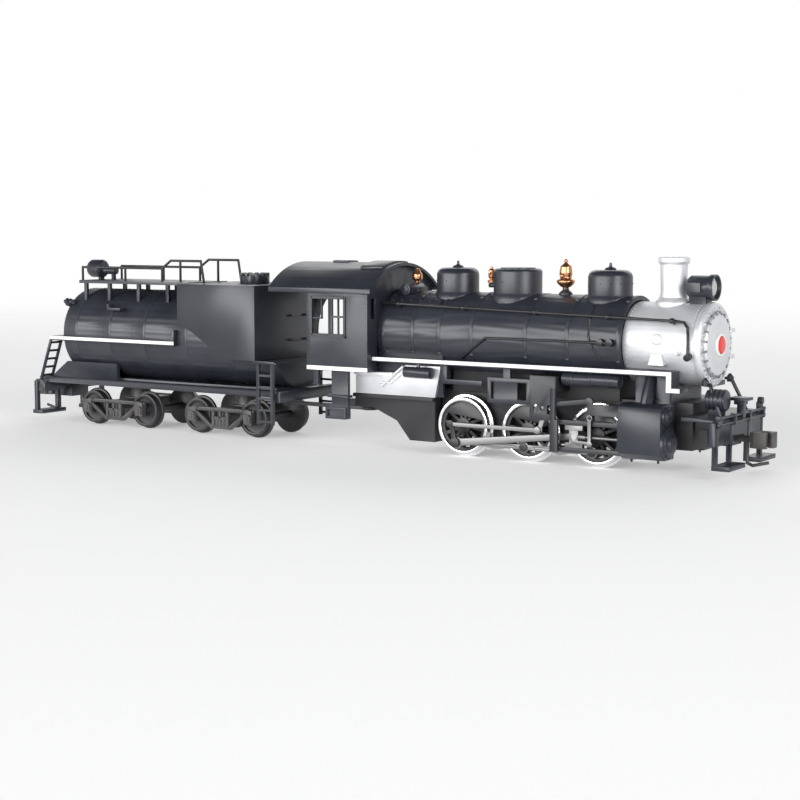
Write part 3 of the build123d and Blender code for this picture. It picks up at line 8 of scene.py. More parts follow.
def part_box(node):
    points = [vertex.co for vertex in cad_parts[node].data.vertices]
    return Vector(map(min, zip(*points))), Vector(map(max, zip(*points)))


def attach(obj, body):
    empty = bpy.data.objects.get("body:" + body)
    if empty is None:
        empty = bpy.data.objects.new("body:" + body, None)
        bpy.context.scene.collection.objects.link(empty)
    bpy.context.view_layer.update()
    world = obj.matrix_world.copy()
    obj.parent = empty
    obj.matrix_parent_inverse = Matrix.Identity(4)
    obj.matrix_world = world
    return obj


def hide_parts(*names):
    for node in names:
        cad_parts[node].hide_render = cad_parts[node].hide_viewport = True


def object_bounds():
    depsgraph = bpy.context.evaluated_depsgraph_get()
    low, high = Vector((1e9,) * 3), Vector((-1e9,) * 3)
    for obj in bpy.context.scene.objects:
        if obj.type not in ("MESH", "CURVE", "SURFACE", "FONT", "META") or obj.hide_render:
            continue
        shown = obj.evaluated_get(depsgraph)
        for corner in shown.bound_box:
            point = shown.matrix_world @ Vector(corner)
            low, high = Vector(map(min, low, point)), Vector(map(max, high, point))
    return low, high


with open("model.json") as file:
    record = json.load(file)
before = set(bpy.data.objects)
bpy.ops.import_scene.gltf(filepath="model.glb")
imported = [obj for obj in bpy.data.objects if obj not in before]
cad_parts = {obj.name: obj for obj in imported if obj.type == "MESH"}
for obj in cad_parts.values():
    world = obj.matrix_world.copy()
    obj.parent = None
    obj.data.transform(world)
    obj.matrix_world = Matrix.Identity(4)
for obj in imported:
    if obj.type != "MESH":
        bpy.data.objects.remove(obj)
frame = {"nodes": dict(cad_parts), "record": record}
cad_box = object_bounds()

# Sizes below are in mm; MM turns them into Blender's metres.
MM = 0.001
ENGINE = "engine"
TENDER = "tender"
SIDES = (-1, 1)                # right side of the engine, left side


def low(node):
    """The low corner of a node's box, in mm."""
    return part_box(node)[0] / MM


def high(node):
    """The high corner of a node's box, in mm."""
    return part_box(node)[1] / MM


def middle(node):
    """The middle of a node's box, in mm."""
    return (low(node) + high(node)) / 2


# ---- materials -------------------------------------------------------------------
def nodes_of(name):
    """A new material with its tree, shader and object coordinates."""
    material = bpy.data.materials.new(name)
    material.use_nodes = True
    tree = material.node_tree
    shader = tree.nodes["Principled BSDF"]
    place = tree.nodes.new("ShaderNodeTexCoord").outputs["Object"]
    return material, tree, shader, place


def noise(tree, place, scale, detail=3.0, stretch=None):
    """A noise value; stretch scales it along each axis, for brushed metal."""
    if stretch is not None:
        mapping = tree.nodes.new("ShaderNodeMapping")
        mapping.inputs["Scale"].default_value = stretch
        tree.links.new(place, mapping.inputs["Vector"])
        place = mapping.outputs["Vector"]
    texture = tree.nodes.new("ShaderNodeTexNoise")
    texture.inputs["Scale"].default_value = scale
    texture.inputs["Detail"].default_value = detail
    tree.links.new(place, texture.inputs["Vector"])
    return texture.outputs["Fac"]


def spread(tree, value, first, last):
    """The value from 0.3 to 0.7 spread over first to last."""
    node = tree.nodes.new("ShaderNodeMapRange")
    node.inputs["From Min"].default_value = 0.3
    node.inputs["From Max"].default_value = 0.7
    node.inputs["To Min"].default_value = first
    node.inputs["To Max"].default_value = last
    tree.links.new(value, node.inputs["Value"])
    return node.outputs["Result"]


def two_tone(tree, value, dark, light):
    """Dark where the value is low, light where it is high."""
    node = tree.nodes.new("ShaderNodeValToRGB")
    node.color_ramp.elements[0].position = 0.3
    node.color_ramp.elements[0].color = (*dark, 1)
    node.color_ramp.elements[1].position = 0.7
    node.color_ramp.elements[1].color = (*light, 1)
    tree.links.new(value, node.inputs["Fac"])
    return node.outputs["Color"]


def bumped(tree, shader, height, strength, distance_mm):
    """Raise the surface a little where the height value is high."""
    node = tree.nodes.new("ShaderNodeBump")
    node.inputs["Strength"].default_value = strength
    node.inputs["Distance"].default_value = distance_mm * MM
    tree.links.new(height, node.inputs["Height"])
    tree.links.new(node.outputs["Normal"], shader.inputs["Normal"])


PATCH_SCALE = 90.0             # noise scales are per metre
GRAIN_DEPTH_MM = 0.02


def finish_material(name, dark, light, rough, metal=0.0, grain=2600.0, bump=0.12, stretch=None):
    """Paint, plastic or metal: slow patches of colour and gloss, and a fine grain."""
    material, tree, shader, place = nodes_of(name)
    slow = noise(tree, place, PATCH_SCALE, 4.0, stretch)
    fine = noise(tree, place, grain, 2.0, stretch)
    tree.links.new(two_tone(tree, slow, dark, light), shader.inputs["Base Color"])
    tree.links.new(spread(tree, slow, rough[0], rough[1]), shader.inputs["Roughness"])
    shader.inputs["Metallic"].default_value = metal
    bumped(tree, shader, fine, bump, GRAIN_DEPTH_MM)
    return material


# Two colours, then the range of roughness.
BLACK = finish_material("black_shell", (0.017, 0.0195, 0.027), (0.026, 0.029, 0.039), (0.3, 0.4))
BLACK_METAL = finish_material("black_metal", (0.018, 0.019, 0.023), (0.026, 0.027, 0.033), (0.38, 0.5))
DIE_CAST = finish_material("die_cast", (0.012, 0.012, 0.014), (0.022, 0.022, 0.026), (0.45, 0.6),
                           grain=1500.0, bump=0.3)
TRUCK = finish_material("truck_plastic", (0.045, 0.043, 0.042), (0.07, 0.067, 0.065), (0.38, 0.5), bump=0.25)
WHEEL = finish_material("wheel_metal", (0.012, 0.012, 0.014), (0.02, 0.02, 0.023), (0.35, 0.5))
COUPLER = finish_material("coupler", (0.035, 0.031, 0.03), (0.055, 0.05, 0.048), (0.38, 0.5), bump=0.3)
SILVER = finish_material("silver_shell", (0.6, 0.61, 0.63), (0.7, 0.71, 0.73), (0.42, 0.52),
                         metal=0.55, bump=0.2)
SHEET = finish_material("silver_sheet", (0.6, 0.61, 0.63), (0.7, 0.71, 0.73), (0.38, 0.5),
                        metal=0.5, bump=0.2)
WHITE = finish_material("white_paint", (0.72, 0.72, 0.7), (0.82, 0.82, 0.8), (0.4, 0.5), bump=0.15)
RED = finish_material("red_plate", (0.62, 0.015, 0.012), (0.78, 0.03, 0.022), (0.25, 0.32), bump=0.05)
BRASS = finish_material("brass", (0.5, 0.24, 0.12), (0.66, 0.34, 0.18), (0.24, 0.38), metal=1.0, bump=0.1)
ROD = finish_material("rod_metal", (0.15, 0.15, 0.155), (0.25, 0.25, 0.25), (0.34, 0.48), metal=1.0,
                      grain=900.0, bump=0.3, stretch=(0.12, 1.0, 1.0))
TYRE = finish_material("tyre_metal", (0.72, 0.72, 0.73), (0.88, 0.88, 0.89), (0.12, 0.24), metal=1.0,
                       grain=3000.0, bump=0.1, stretch=(1.0, 0.1, 1.0))
STEEL = finish_material("shaft_steel", (0.4, 0.4, 0.41), (0.55, 0.55, 0.56), (0.2, 0.35), metal=1.0)
# Painted shade: the bolts and door clamps on the silver smokebox front get a dark grey that stands in for
# the shade falling on them.
SHADED_BOLT_GREY = finish_material("bolt_grey_painted_shade", (0.2, 0.2, 0.21), (0.3, 0.3, 0.31), (0.35, 0.5), metal=0.4)
WIRE = finish_material("wire", (0.01, 0.01, 0.012), (0.018, 0.018, 0.02), (0.3, 0.42), bump=0.05)


def lens_material():
    """Clear plastic with faint facets, part of the light passing through."""
    material, tree, shader, place = nodes_of("lens")
    facets = noise(tree, place, 1500.0)
    tree.links.new(two_tone(tree, facets, (0.8, 0.8, 0.76), (0.95, 0.95, 0.92)), shader.inputs["Base Color"])
    tree.links.new(spread(tree, facets, 0.03, 0.1), shader.inputs["Roughness"])
    shader.inputs["Transmission Weight"].default_value = 0.7
    shader.inputs["Coat Weight"].default_value = 1.0
    bumped(tree, shader, facets, 0.1, 0.05)
    return material


LENS = lens_material()

SLOT_MATERIAL = {
    "black_shell": BLACK, "black_metal": BLACK_METAL, "die_cast": DIE_CAST, "truck_plastic": TRUCK,
    "wheel_metal": WHEEL, "coupler": COUPLER, "silver_shell": SILVER, "silver_sheet": SHEET,
    "red_plate": RED, "brass": BRASS, "rod_metal": ROD, "tyre_metal": TYRE, "shaft_steel": STEEL,
    "motor_can": STEEL, "wire": WIRE, "white_edge_board": BLACK, "lens": LENS,
}


# ---- mesh helpers ------------------------------------------------------------------
AHEAD = (1, 0, 0)
UP = (0, 0, 1)


def add_hull(shape, corners):
    """The convex solid between its corners."""
    bmesh.ops.convex_hull(shape, input=[shape.verts.new(Vector(corner) * MM) for corner in corners])


def add_block(shape, x, y, z):
    """A box between low and high values on each axis."""
    add_hull(shape, [(px, py, pz) for px in x for py in y for pz in z])


def add_rod(shape, start, end, radius, sides=14, end_radius=None):
    """A round bar between two points, tapered if end_radius is given."""
    a = Vector(start)
    b = Vector(end)
    turn = (b - a).to_track_quat("Z", "Y").to_matrix().to_4x4()
    place = Matrix.Translation((a + b) / 2 * MM) @ turn
    last = radius if end_radius is None else end_radius
    bmesh.ops.create_cone(
        shape, cap_ends=True, segments=sides, radius1=radius * MM, radius2=last * MM,
        depth=(b - a).length * MM, matrix=place)


def add_turned(shape, profile, foot, axis, sides=40):
    """A turned form: (radius, height) points from the foot, spun about the axis."""
    turn = Vector(axis).to_track_quat("Z", "Y").to_matrix()
    rings = []
    for radius, height in profile:
        count = 1 if radius == 0 else sides
        ring = []
        for k in range(count):
            a = 2 * pi * k / count
            spot = Vector(foot) + turn @ Vector((radius * cos(a), radius * sin(a), height))
            ring.append(shape.verts.new(spot * MM))
        rings.append(ring)
    for ring, after in zip(rings, rings[1:]):
        for k in range(sides):
            corners = {ring[k % len(ring)]: 0, ring[(k + 1) % len(ring)]: 0}
            corners.update({after[(k + 1) % len(after)]: 0, after[k % len(after)]: 0})
            if len(corners) > 2:
                shape.faces.new(list(corners))
    for ring in (rings[0], rings[-1]):
        if len(ring) > 1:
            shape.faces.new(ring)


# Outlines of the two fasteners: radius and height, both in parts of the fastener's radius.
RIVET = ((1.0, -0.35), (1.0, 0.0), (0.85, 0.42), (0.48, 0.72), (0.0, 0.84))
BOLT = ((1.0, -0.4), (1.0, 0.75), (0.8, 0.95), (0.0, 0.95))


def add_rivet(shape, place, normal, radius):
    """A round rivet head, its foot sunk a little into the plate."""
    add_turned(shape, [(r * radius, h * radius) for r, h in RIVET], place, normal, 8)


def add_bolt(shape, place, normal, radius):
    """A six-sided bolt head."""
    add_turned(shape, [(r * radius, h * radius) for r, h in BOLT], place, normal, 6)


def steps(first, last, spacing):
    """Evenly spaced values from first to last, about spacing apart."""
    count = max(1, round(abs(last - first) / spacing))
    return [first + (last - first) * k / count for k in range(count + 1)]


def add_piece(name, shape, material, body, edge_mm=0.06, smooth_deg=35.0):
    """Turn a bmesh into a named piece with fine edges that rides on a body."""
    bmesh.ops.recalc_face_normals(shape, faces=shape.faces[:])
    mesh = bpy.data.meshes.new(name)
    shape.to_mesh(mesh)
    shape.free()
    mesh.materials.append(material)
    piece = bpy.data.objects.new(name, mesh)
    bpy.context.collection.objects.link(piece)
    for polygon in mesh.polygons:
        polygon.use_smooth = True
    if edge_mm:
        bevel = piece.modifiers.new("edges", "BEVEL")
        bevel.width = edge_mm * MM
        bevel.segments = 2
        bevel.limit_method = "ANGLE"
        bevel.angle_limit = radians(smooth_deg)
        bevel.harden_normals = True
    else:
        mesh.set_sharp_from_angle(angle=radians(smooth_deg))
    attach(piece, body)
    return piece


# ---- sizes that the details share ----------------------------------------------------
FINE_RIVET = 0.12              # radii of the rivet heads
SHEET_RIVET = 0.13
SEAM_RIVET = 0.16
RIVET_STEP = 1.15
FLANGE_DEPTH = 0.7
FILM = 0.04                    # a painted edge stands this far off the plastic
BAND_THICK = 0.12

SMOKEBOX_LOW = low("smokebox")
SMOKEBOX_HIGH = high("smokebox")
BOILER_LINE = (SMOKEBOX_LOW.z + SMOKEBOX_HIGH.z) / 2
SMOKEBOX_R = (SMOKEBOX_HIGH.z - SMOKEBOX_LOW.z) / 2
BOILER_R = (high("boiler_shell").y - low("boiler_shell").y) / 2 - BAND_THICK
BAND_X = [low("boiler_shell").x + step for step in (8.3, 17.6, 25.8, 35.5, 51.3, 63.1, 77.0)]
FACE_X = high("smokebox_front").x
RING_X = FACE_X - 1.1
AXLE_X = middle("middle_driver_tyres").x
RAIL_Z = low("middle_driver_tyres").z + FLANGE_DEPTH
CAB_REAR = low("cab").x
CAB_FRONT = high("cab").x
CAB_SIDE = high("cab").y
CAB_SILL = SMOKEBOX_LOW.z

TANK_REAR = low("tender_tank").x
TANK_R = 13.3
TANK_LINE = high("tender_tank").z - TANK_R - 0.1
BUNKER_REAR = low("fuel_bunker").x
BUNKER_FRONT = high("fuel_bunker").x
BUNKER_SIDE = high("fuel_bunker").y
BUNKER_TOP = high("fuel_bunker").z
BUNKER_FOOT = low("fuel_bunker").z
WALK_TOP = 26.6
WALK_SIDE = 14.6
WALK_FRONT = BUNKER_REAR - 1.0


def rail(x, y, z):
    """A point given from the middle driving axle along X and from the rail head up."""
    return Vector((x + AXLE_X, y, z + RAIL_Z))


def on_circle(x, radius, degrees_up, centre_z=BOILER_LINE):
    """A point and the outward way on a circle about a line along X; 0 degrees is the right side."""
    a = radians(degrees_up)
    way = Vector((0, -cos(a), sin(a)))
    return Vector((x, 0, centre_z)) + radius * way, way


# ---- engine details ------------------------------------------------------------------
PLUG_X = SMOKEBOX_LOW.x + 9.1


def make_smokebox_details():
    """Riveted seams round the smokebox, and on each side a washout plug and a small cap."""
    plug = [(1.45, 0.0), (1.45, 0.3), (1.2, 0.4), (1.05, 0.3), (0.5, 0.3), (0.4, 0.5), (0, 0.55)]
    cap = [(0.7, 0.0), (0.7, 0.35), (0.45, 0.45), (0.45, 1.0), (0, 1.05)]
    sunk = SMOKEBOX_R - 0.1
    shape = bmesh.new()
    for x in (SMOKEBOX_LOW.x + 0.9, SMOKEBOX_HIGH.x - 0.9):
        for angle in steps(-40, 220, 7):
            spot, way = on_circle(x, SMOKEBOX_R, angle)
            add_rivet(shape, spot, way, SEAM_RIVET)
    for side in SIDES:
        spot, way = on_circle(PLUG_X, sunk, 90 + side * 82)
        add_turned(shape, plug, spot, way, 24)
        spot, way = on_circle(PLUG_X + 5.5, sunk, 90 + side * 99)
        add_turned(shape, cap, spot, way, 16)
    add_piece("smokebox_details", shape, SILVER, ENGINE, 0)


def make_pipe_casings():
    """The pale tapered casing below each plug, where the steam pipe leaves the smokebox."""
    wide, narrow = 2.1, 1.3        # half lengths at the bottom and the top
    foot = BOILER_LINE - 4.9
    shape = bmesh.new()
    for side in SIDES:
        corners = []
        for end in (-1, 1):
            corners.append((PLUG_X + end * wide, side * 8.0, foot))
            corners.append((PLUG_X + end * wide, side * 10.4, foot))
            corners.append((PLUG_X + end * narrow, side * 9.0, foot + 3.2))
            corners.append((PLUG_X + end * narrow, side * 10.25, foot + 2.9))
        add_hull(shape, corners)
    add_piece("pipe_casings", shape, SILVER, ENGINE, 0.2)


DOOR_DOGS = 20
RING_BOLTS = 36


def make_front_bolts():
    """The clamps round the smokebox door and the bolts round its ring, in a dark grey that is painted shade.
    """
    shape = bmesh.new()
    for k in range(DOOR_DOGS):
        spot, way = on_circle(FACE_X - 0.75, 7.45, 360 / DOOR_DOGS * (k + 0.5))
        add_rod(shape, spot - way * 0.75, spot + way * 0.75, 0.3, 6)
        add_bolt(shape, spot + Vector(AHEAD) * 0.2, AHEAD, 0.3)
    for k in range(RING_BOLTS):
        add_rivet(shape, on_circle(RING_X, 9.0, 360 / RING_BOLTS * k)[0], AHEAD, 0.18)
    # painted shade: the dark grey darkens the clamps and bolts in place of real shading
    add_piece("front_bolts", shape, SHADED_BOLT_GREY, ENGINE, 0)


def make_plate_ring():
    """The white ring round the red plate."""
    inner = (high("number_plate").z - low("number_plate").z) / 2
    ring = [(0.7, -0.6), (0.7, 0.1), (0.5, 0.35), (0.1, 0.4), (0.02, 0.2), (0.02, -0.6)]
    shape = bmesh.new()
    foot = (FACE_X, 0, middle("number_plate").z)
    add_turned(shape, [(inner + reach, height) for reach, height in ring], foot, AHEAD, 48)
    add_piece("plate_ring", shape, WHITE, ENGINE, 0.03)


def make_marker_lamps():
    """A small lamp on a bracket low on each side of the smokebox front."""
    body = [(0.0, -1.0), (0.75, -0.9), (0.75, 0.5), (0.5, 0.8), (0.3, 1.1), (0.0, 1.15)]
    shape = bmesh.new()
    for side in SIDES:
        lamp = Vector((RING_X + 0.6, side * 7.6, BOILER_LINE - 8.5))
        add_rod(shape, lamp - Vector((0.8, side * 1.2, 0)), lamp, 0.35)
        add_turned(shape, body, lamp, UP, 16)
        add_rod(shape, lamp, lamp + Vector(AHEAD) * 0.9, 0.45)
    add_piece("marker_lamps", shape, BLACK, ENGINE, 0.04)


def edge_film(side, face):
    """The thickness of paint on a side face, as a range of Y."""
    return side * face, side * (face + FILM)


def make_white_edges():
    """The painted edges: running boards with their front drop, cab sills, tender walkways."""
    tall = 0.95
    gap = 0.02                     # keeps the three strips of a running board apart
    board_low, board_high = low("running_boards"), high("running_boards")
    drop = (board_high.x - 3.5, board_high.x - 2.2)
    shape = bmesh.new()
    for side in SIDES:
        y = edge_film(side, board_high.y)
        add_block(shape, (board_low.x, drop[1]), y, (board_high.z - tall, board_high.z))
        add_block(shape, drop, y, (board_low.z, board_high.z - tall - gap))
        add_block(shape, (drop[1] + gap, board_high.x), y, (board_low.z, board_low.z + tall))
    add_piece("board_edges", shape, WHITE, ENGINE, 0.012)
    shape = bmesh.new()
    for side in SIDES:
        y = edge_film(side, CAB_SIDE)
        add_block(shape, (CAB_REAR, CAB_FRONT), y, (CAB_SILL + 0.1, CAB_SILL + 1.2))
    add_piece("cab_edges", shape, WHITE, ENGINE, 0.012)
    shape = bmesh.new()
    for side in SIDES:
        y = edge_film(side, WALK_SIDE)
        add_block(shape, (TANK_REAR - 1.5, WALK_FRONT), y, (WALK_TOP - tall, WALK_TOP))
    add_piece("walkway_edges", shape, WHITE, TENDER, 0.012)


def add_window_frame(shape, side, x, z):
    """A raised frame round a window opening in the cab's side, with a sill under it."""
    half = 0.3
    y = side * CAB_SIDE
    rim = (y - side * half, y + side * half)
    for edge in x:
        add_block(shape, (edge - half, edge + half), rim, (z[0] - half, z[1] + half))
    for edge in z:
        add_block(shape, x, rim, (edge - half, edge + half))
    add_block(shape, (x[0] - 0.4, x[1] + 0.4), (y - side * half, y + side * 0.75), (z[0] - 0.6, z[0] - 0.15))


def make_cab_details():
    """Rivet rows round each side of the cab, and a frame and sill round its window."""
    eave = low("cab_roof").z - 0.4
    shape = bmesh.new()
    for side in SIDES:
        y = side * CAB_SIDE
        way = (0, side, 0)
        for x in steps(CAB_REAR + 0.8, CAB_FRONT - 0.8, RIVET_STEP):
            for z in (CAB_SILL + 2.1, eave - 0.4):
                add_rivet(shape, (x, y, z), way, SHEET_RIVET)
        for z in steps(CAB_SILL + 3.0, eave - 1.2, RIVET_STEP):
            for x in (CAB_REAR + 0.6, CAB_FRONT - 0.6):
                add_rivet(shape, (x, y, z), way, SHEET_RIVET)
        add_window_frame(shape, side, (CAB_REAR + 1.7, CAB_REAR + 12.5), (30.6, 40.6))
    add_piece("cab_details", shape, BLACK, ENGINE, 0.03)


def make_boiler_details():
    """Washout plugs over the firebox, and the clamps that close the jacket bands."""
    plug = [(0.55, -0.2), (0.55, 0.3), (0.3, 0.36), (0.3, 0.6), (0.0, 0.6)]
    long, wide = 0.45, 0.2         # half sizes of a clamp
    shape = bmesh.new()
    for x in steps(CAB_FRONT + 2.0, CAB_FRONT + 17.0, 3.0):
        for angle in (52, 128):
            spot, way = on_circle(x, BOILER_R, angle)
            add_turned(shape, plug, spot, way, 12)
    for x in BAND_X:
        for angle in (-22, 62, 118, 202):
            spot, way = on_circle(x, BOILER_R + BAND_THICK, angle)
            y = (spot.y - wide, spot.y + wide)
            z = (spot.z - wide, spot.z + wide)
            add_block(shape, (spot.x - long, spot.x + long), y, z)
    add_piece("boiler_details", shape, BLACK, ENGINE, 0.03)


HANDRAIL_Y = 10.1
HANDRAIL_REAR = (-44.2, 38.7)      # X and height; it falls a little towards the front
HANDRAIL_FRONT = (39.9, 36.4)
STANCHION_X = (-39.0, -19.1, 1.9, 21.9, 39.0)


def make_handrail_knobs():
    """A turned knob where each stanchion holds the boiler handrail."""
    knob = [(0.0, -0.85), (0.3, -0.8), (0.62, -0.45), (0.72, 0.0), (0.62, 0.45), (0.3, 0.8), (0.0, 0.85)]
    rear_x, rear_z = HANDRAIL_REAR
    front_x, front_z = HANDRAIL_FRONT
    shape = bmesh.new()
    for side in SIDES:
        for x in STANCHION_X:
            z = rear_z + (x - rear_x) / (front_x - rear_x) * (front_z - rear_z)
            add_turned(shape, knob, rail(x, side * HANDRAIL_Y, z), AHEAD, 16)
    add_piece("handrail_knobs", shape, WIRE, ENGINE, 0)


def make_firebox_details():
    """Rivet rows, a stepped flange and a slanting rod on the pale firebox sheets."""
    flange = [(-44.0, 17.6), (-40.6, 17.6), (-37.4, 20.0), (-30.0, 20.0)]
    face = high("firebox_sheets").y - 0.8
    shape = bmesh.new()
    for side in SIDES:
        way = (0, side, 0)
        for x in steps(-43.5, -28.0, 1.3):
            add_rivet(shape, rail(x, side * face, 15.2), way, 0.15)
        for x in steps(-37.0, -27.0, 1.25):
            add_rivet(shape, rail(x, side * face, 21.9), way, 0.15)
        y = side * (face + 0.2)
        add_rod(shape, rail(-43.6, y, 16.6), rail(-36.6, y, 22.2), 0.4, 12)
        y = side * (face + 0.05)
        for start, end in zip(flange, flange[1:]):
            add_rod(shape, rail(start[0], y, start[1]), rail(end[0], y, end[1]), 0.32, 12)
    add_piece("firebox_details", shape, SHEET, ENGINE, 0)


def make_roof_strips():
    """A lengthwise seam near each edge of the cab roof."""
    roof_low, roof_high = low("cab_roof"), high("cab_roof")
    z = roof_high.z - 4.35
    shape = bmesh.new()
    for side in SIDES:
        y = side * 12.3
        add_rod(shape, (roof_low.x + 0.4, y, z), (roof_high.x - 0.4, y, z), 0.3, 10)
    add_piece("roof_strips", shape, BLACK, ENGINE, 0)


DOME_RIVETS = 14


def make_dome_details():
    """A row of screw heads round each dome."""
    sand_low, sand_high = low("sand_domes"), high("sand_domes")
    steam_low, steam_high = low("steam_dome"), high("steam_dome")
    sand_r = 5.6
    steam_r = (steam_high.x - steam_low.x) / 2 - 0.9
    domes = [(sand_low.x + sand_r, sand_r), (sand_high.x - sand_r, sand_r)]
    domes.append(((steam_low.x + steam_high.x) / 2, steam_r))
    shape = bmesh.new()
    for x, radius in domes:
        for k in range(DOME_RIVETS):
            a = 2 * pi * (k + 0.5) / DOME_RIVETS
            way = Vector((cos(a), sin(a), 0))
            spot = Vector((x, 0, sand_high.z - 5.2)) + radius * way
            add_rivet(shape, spot, way, SEAM_RIVET)
    add_piece("dome_rivets", shape, BLACK, ENGINE, 0)


BELL_STAND = ((1.75, -0.4), (1.75, 0.5), (1.3, 0.95), (0.85, 1.3), (0.8, 1.7), (0.0, 1.7))
BELL_BODY = (
    (0.7, 1.65), (0.75, 2.0), (1.35, 2.35), (2.0, 3.0), (2.3, 3.55), (2.35, 3.9), (2.15, 4.2), (1.7, 4.4),
    (1.45, 4.75), (1.5, 5.2), (1.65, 5.6), (1.62, 6.6), (1.45, 7.4), (1.5, 7.7), (1.35, 8.0), (0.95, 8.4),
    (0.5, 8.8), (0.35, 9.0), (0.5, 9.25), (0.5, 9.55), (0.3, 9.85), (0.0, 9.95))
BELL_KNOB = ((0.0, -0.5), (0.45, -0.3), (0.55, 0.0), (0.45, 0.3), (0.0, 0.5))


def make_bell():
    """The bell on its cast stand, with a pivot knob on each side and a finial on top."""
    x = middle("bell").x
    foot = BOILER_LINE + BOILER_R - 0.2
    tall = (high("bell").z - foot) / BELL_BODY[-1][1]
    shape = bmesh.new()
    add_turned(shape, BELL_STAND, (x, 0, foot), UP, 32)
    add_piece("bell_stand", shape, BLACK, ENGINE, 0.05)
    shape = bmesh.new()
    add_turned(shape, [(radius, height * tall) for radius, height in BELL_BODY], (x, 0, foot), UP, 40)
    for side in SIDES:
        pivot = (x, side * 2.2, foot + 4.9)
        add_rod(shape, (x, 0, foot + 4.6), pivot, 0.3, 12)
        add_turned(shape, BELL_KNOB, pivot, (0, side, 0), 14)
    body = add_piece("bell_body", shape, BRASS, ENGINE, 0, 50.0)
    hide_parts("bell")


def make_cylinder_details():
    """Bolt circles on the cylinder and valve covers, jacket screws and drain cocks."""
    front = high("cylinder_blocks").x
    shape = bmesh.new()
    for side in SIDES:
        for k in range(12):
            a = 2 * pi * k / 12
            add_bolt(shape, (front - 1.4, side * 13.2 + 3.5 * cos(a), 8.0 + 3.5 * sin(a)), AHEAD, 0.26)
        for k in range(8):
            a = 2 * pi * k / 8
            add_bolt(shape, (front - 1.5, side * 14.0 + 1.93 * cos(a), 14.6 + 1.93 * sin(a)), AHEAD, 0.2)
        for x in (front - 12.4, front - 3.0):
            for z in (7.8, 11.4, 15.0):
                add_rivet(shape, (x, side * 17.0, z), (0, side, 0), 0.14)
        for x in (front - 11.5, front - 4.5):
            add_rod(shape, (x, side * 12.5, 4.4), (x, side * 12.5, 2.9), 0.45, 12, 0.25)
    add_piece("cylinder_details", shape, BLACK, ENGINE, 0)


# ---- tender details ------------------------------------------------------------------
def make_tank_details():
    """Rivet rows beside the tank's bands, and a valve on each rear shoulder."""
    valve = [(0.9, -0.6), (0.9, 0.5), (1.3, 0.6), (1.3, 1.1), (0.6, 1.3), (0.6, 2.2), (0.0, 2.3)]
    shape = bmesh.new()
    for step in (3.6, 5.4, 17.1, 18.9, 30.6, 32.4):
        for angle in steps(-35, 215, 5.5):
            spot, way = on_circle(TANK_REAR + step, TANK_R, angle, TANK_LINE)
            add_rivet(shape, spot, way, SHEET_RIVET)
    for side in SIDES:
        spot, way = on_circle(TANK_REAR + 2.7, TANK_R - 0.3, 90 - side * 48, TANK_LINE)
        add_turned(shape, valve, spot, way, 20)
        stem = spot + way * 1.2
        add_rod(shape, stem - Vector(AHEAD) * 1.6, stem + Vector(AHEAD) * 2.2, 0.5, 12)
        add_bolt(shape, stem + Vector(AHEAD) * 2.1, AHEAD, 0.8)
    add_piece("tank_details", shape, BLACK, TENDER, 0)


def add_grab_iron(shape, y, z, length=4.0, reach=0.7, radius=0.28):
    """A level grab iron on the bunker's front, from y for its length."""
    bar_x = BUNKER_FRONT + reach
    add_rod(shape, (bar_x, y, z), (bar_x, y + length, z), radius)
    for end in (y, y + length):
        add_rod(shape, (BUNKER_FRONT - 0.1, end, z), (bar_x + 0.1, end, z), radius)


def make_bunker_details():
    """Rivets along the bunker's edges, and four grab irons on its front."""
    inset = 0.6
    shape = bmesh.new()
    for side in SIDES:
        y = side * BUNKER_SIDE
        way = (0, side, 0)
        for x in steps(BUNKER_REAR + 0.7, BUNKER_FRONT - 0.7, 1.1):
            add_rivet(shape, (x, y, BUNKER_TOP - inset), way, FINE_RIVET)
        for z in steps(BUNKER_FOOT + 11.0, BUNKER_TOP - 1.5, 1.1):
            add_rivet(shape, (BUNKER_REAR + inset, y, z), way, FINE_RIVET)
        for z in steps(BUNKER_FOOT + 0.8, BUNKER_TOP - 1.5, 1.1):
            add_rivet(shape, (BUNKER_FRONT - inset, y, z), way, FINE_RIVET)
    for y in steps(0.7 - BUNKER_SIDE, BUNKER_SIDE - 0.7, 1.2):
        add_rivet(shape, (BUNKER_FRONT, y, BUNKER_TOP - 0.7), AHEAD, FINE_RIVET)
    for z in (BUNKER_FOOT + 5.0, BUNKER_FOOT + 12.0):
        for y in (2.0, 9.0):
            add_grab_iron(shape, y, z)
    add_piece("bunker_details", shape, BLACK, TENDER, 0)


def add_journal_box(shape, side, face, axle):
    """The lid of an axle box, its hinge and its pin, with a bolt on each side above."""
    lid = side * (face + 0.02)
    way = (0, side, 0)
    add_block(shape, (axle.x - 1.15, axle.x + 1.15), (lid - side * 0.3, lid + side * 0.35),
              (axle.z - 1.0, axle.z + 1.35))
    add_block(shape, (axle.x - 0.9, axle.x + 0.9), (lid, lid + side * 0.6), (axle.z + 1.0, axle.z + 1.45))
    add_turned(shape, [(0.62, 0.3), (0.55, 0.55), (0.0, 0.62)], (axle.x, lid, axle.z), way, 16)
    for dx in (-1.9, 1.9):
        add_bolt(shape, (axle.x + dx, side * (face - 0.5), axle.z + 2.4), way, 0.3)


def add_column_bars(shape, side, face, x):
    """The bolted columns and crossbar round a truck's springs."""
    for dx in (-2.6, 2.6):
        for z in (2.9, 7.3):
            add_bolt(shape, (x + dx, side * (face - 0.4), z), (0, side, 0), 0.32)
    y = (side * (face - 1.0), side * (face - 0.35))
    for dx in (-2.4, 0.0, 2.4):
        add_block(shape, (x + dx - 0.3, x + dx + 0.3), y, (3.0, 7.2))
    add_block(shape, (x - 2.4, x + 2.4), y, (5.2, 5.7))


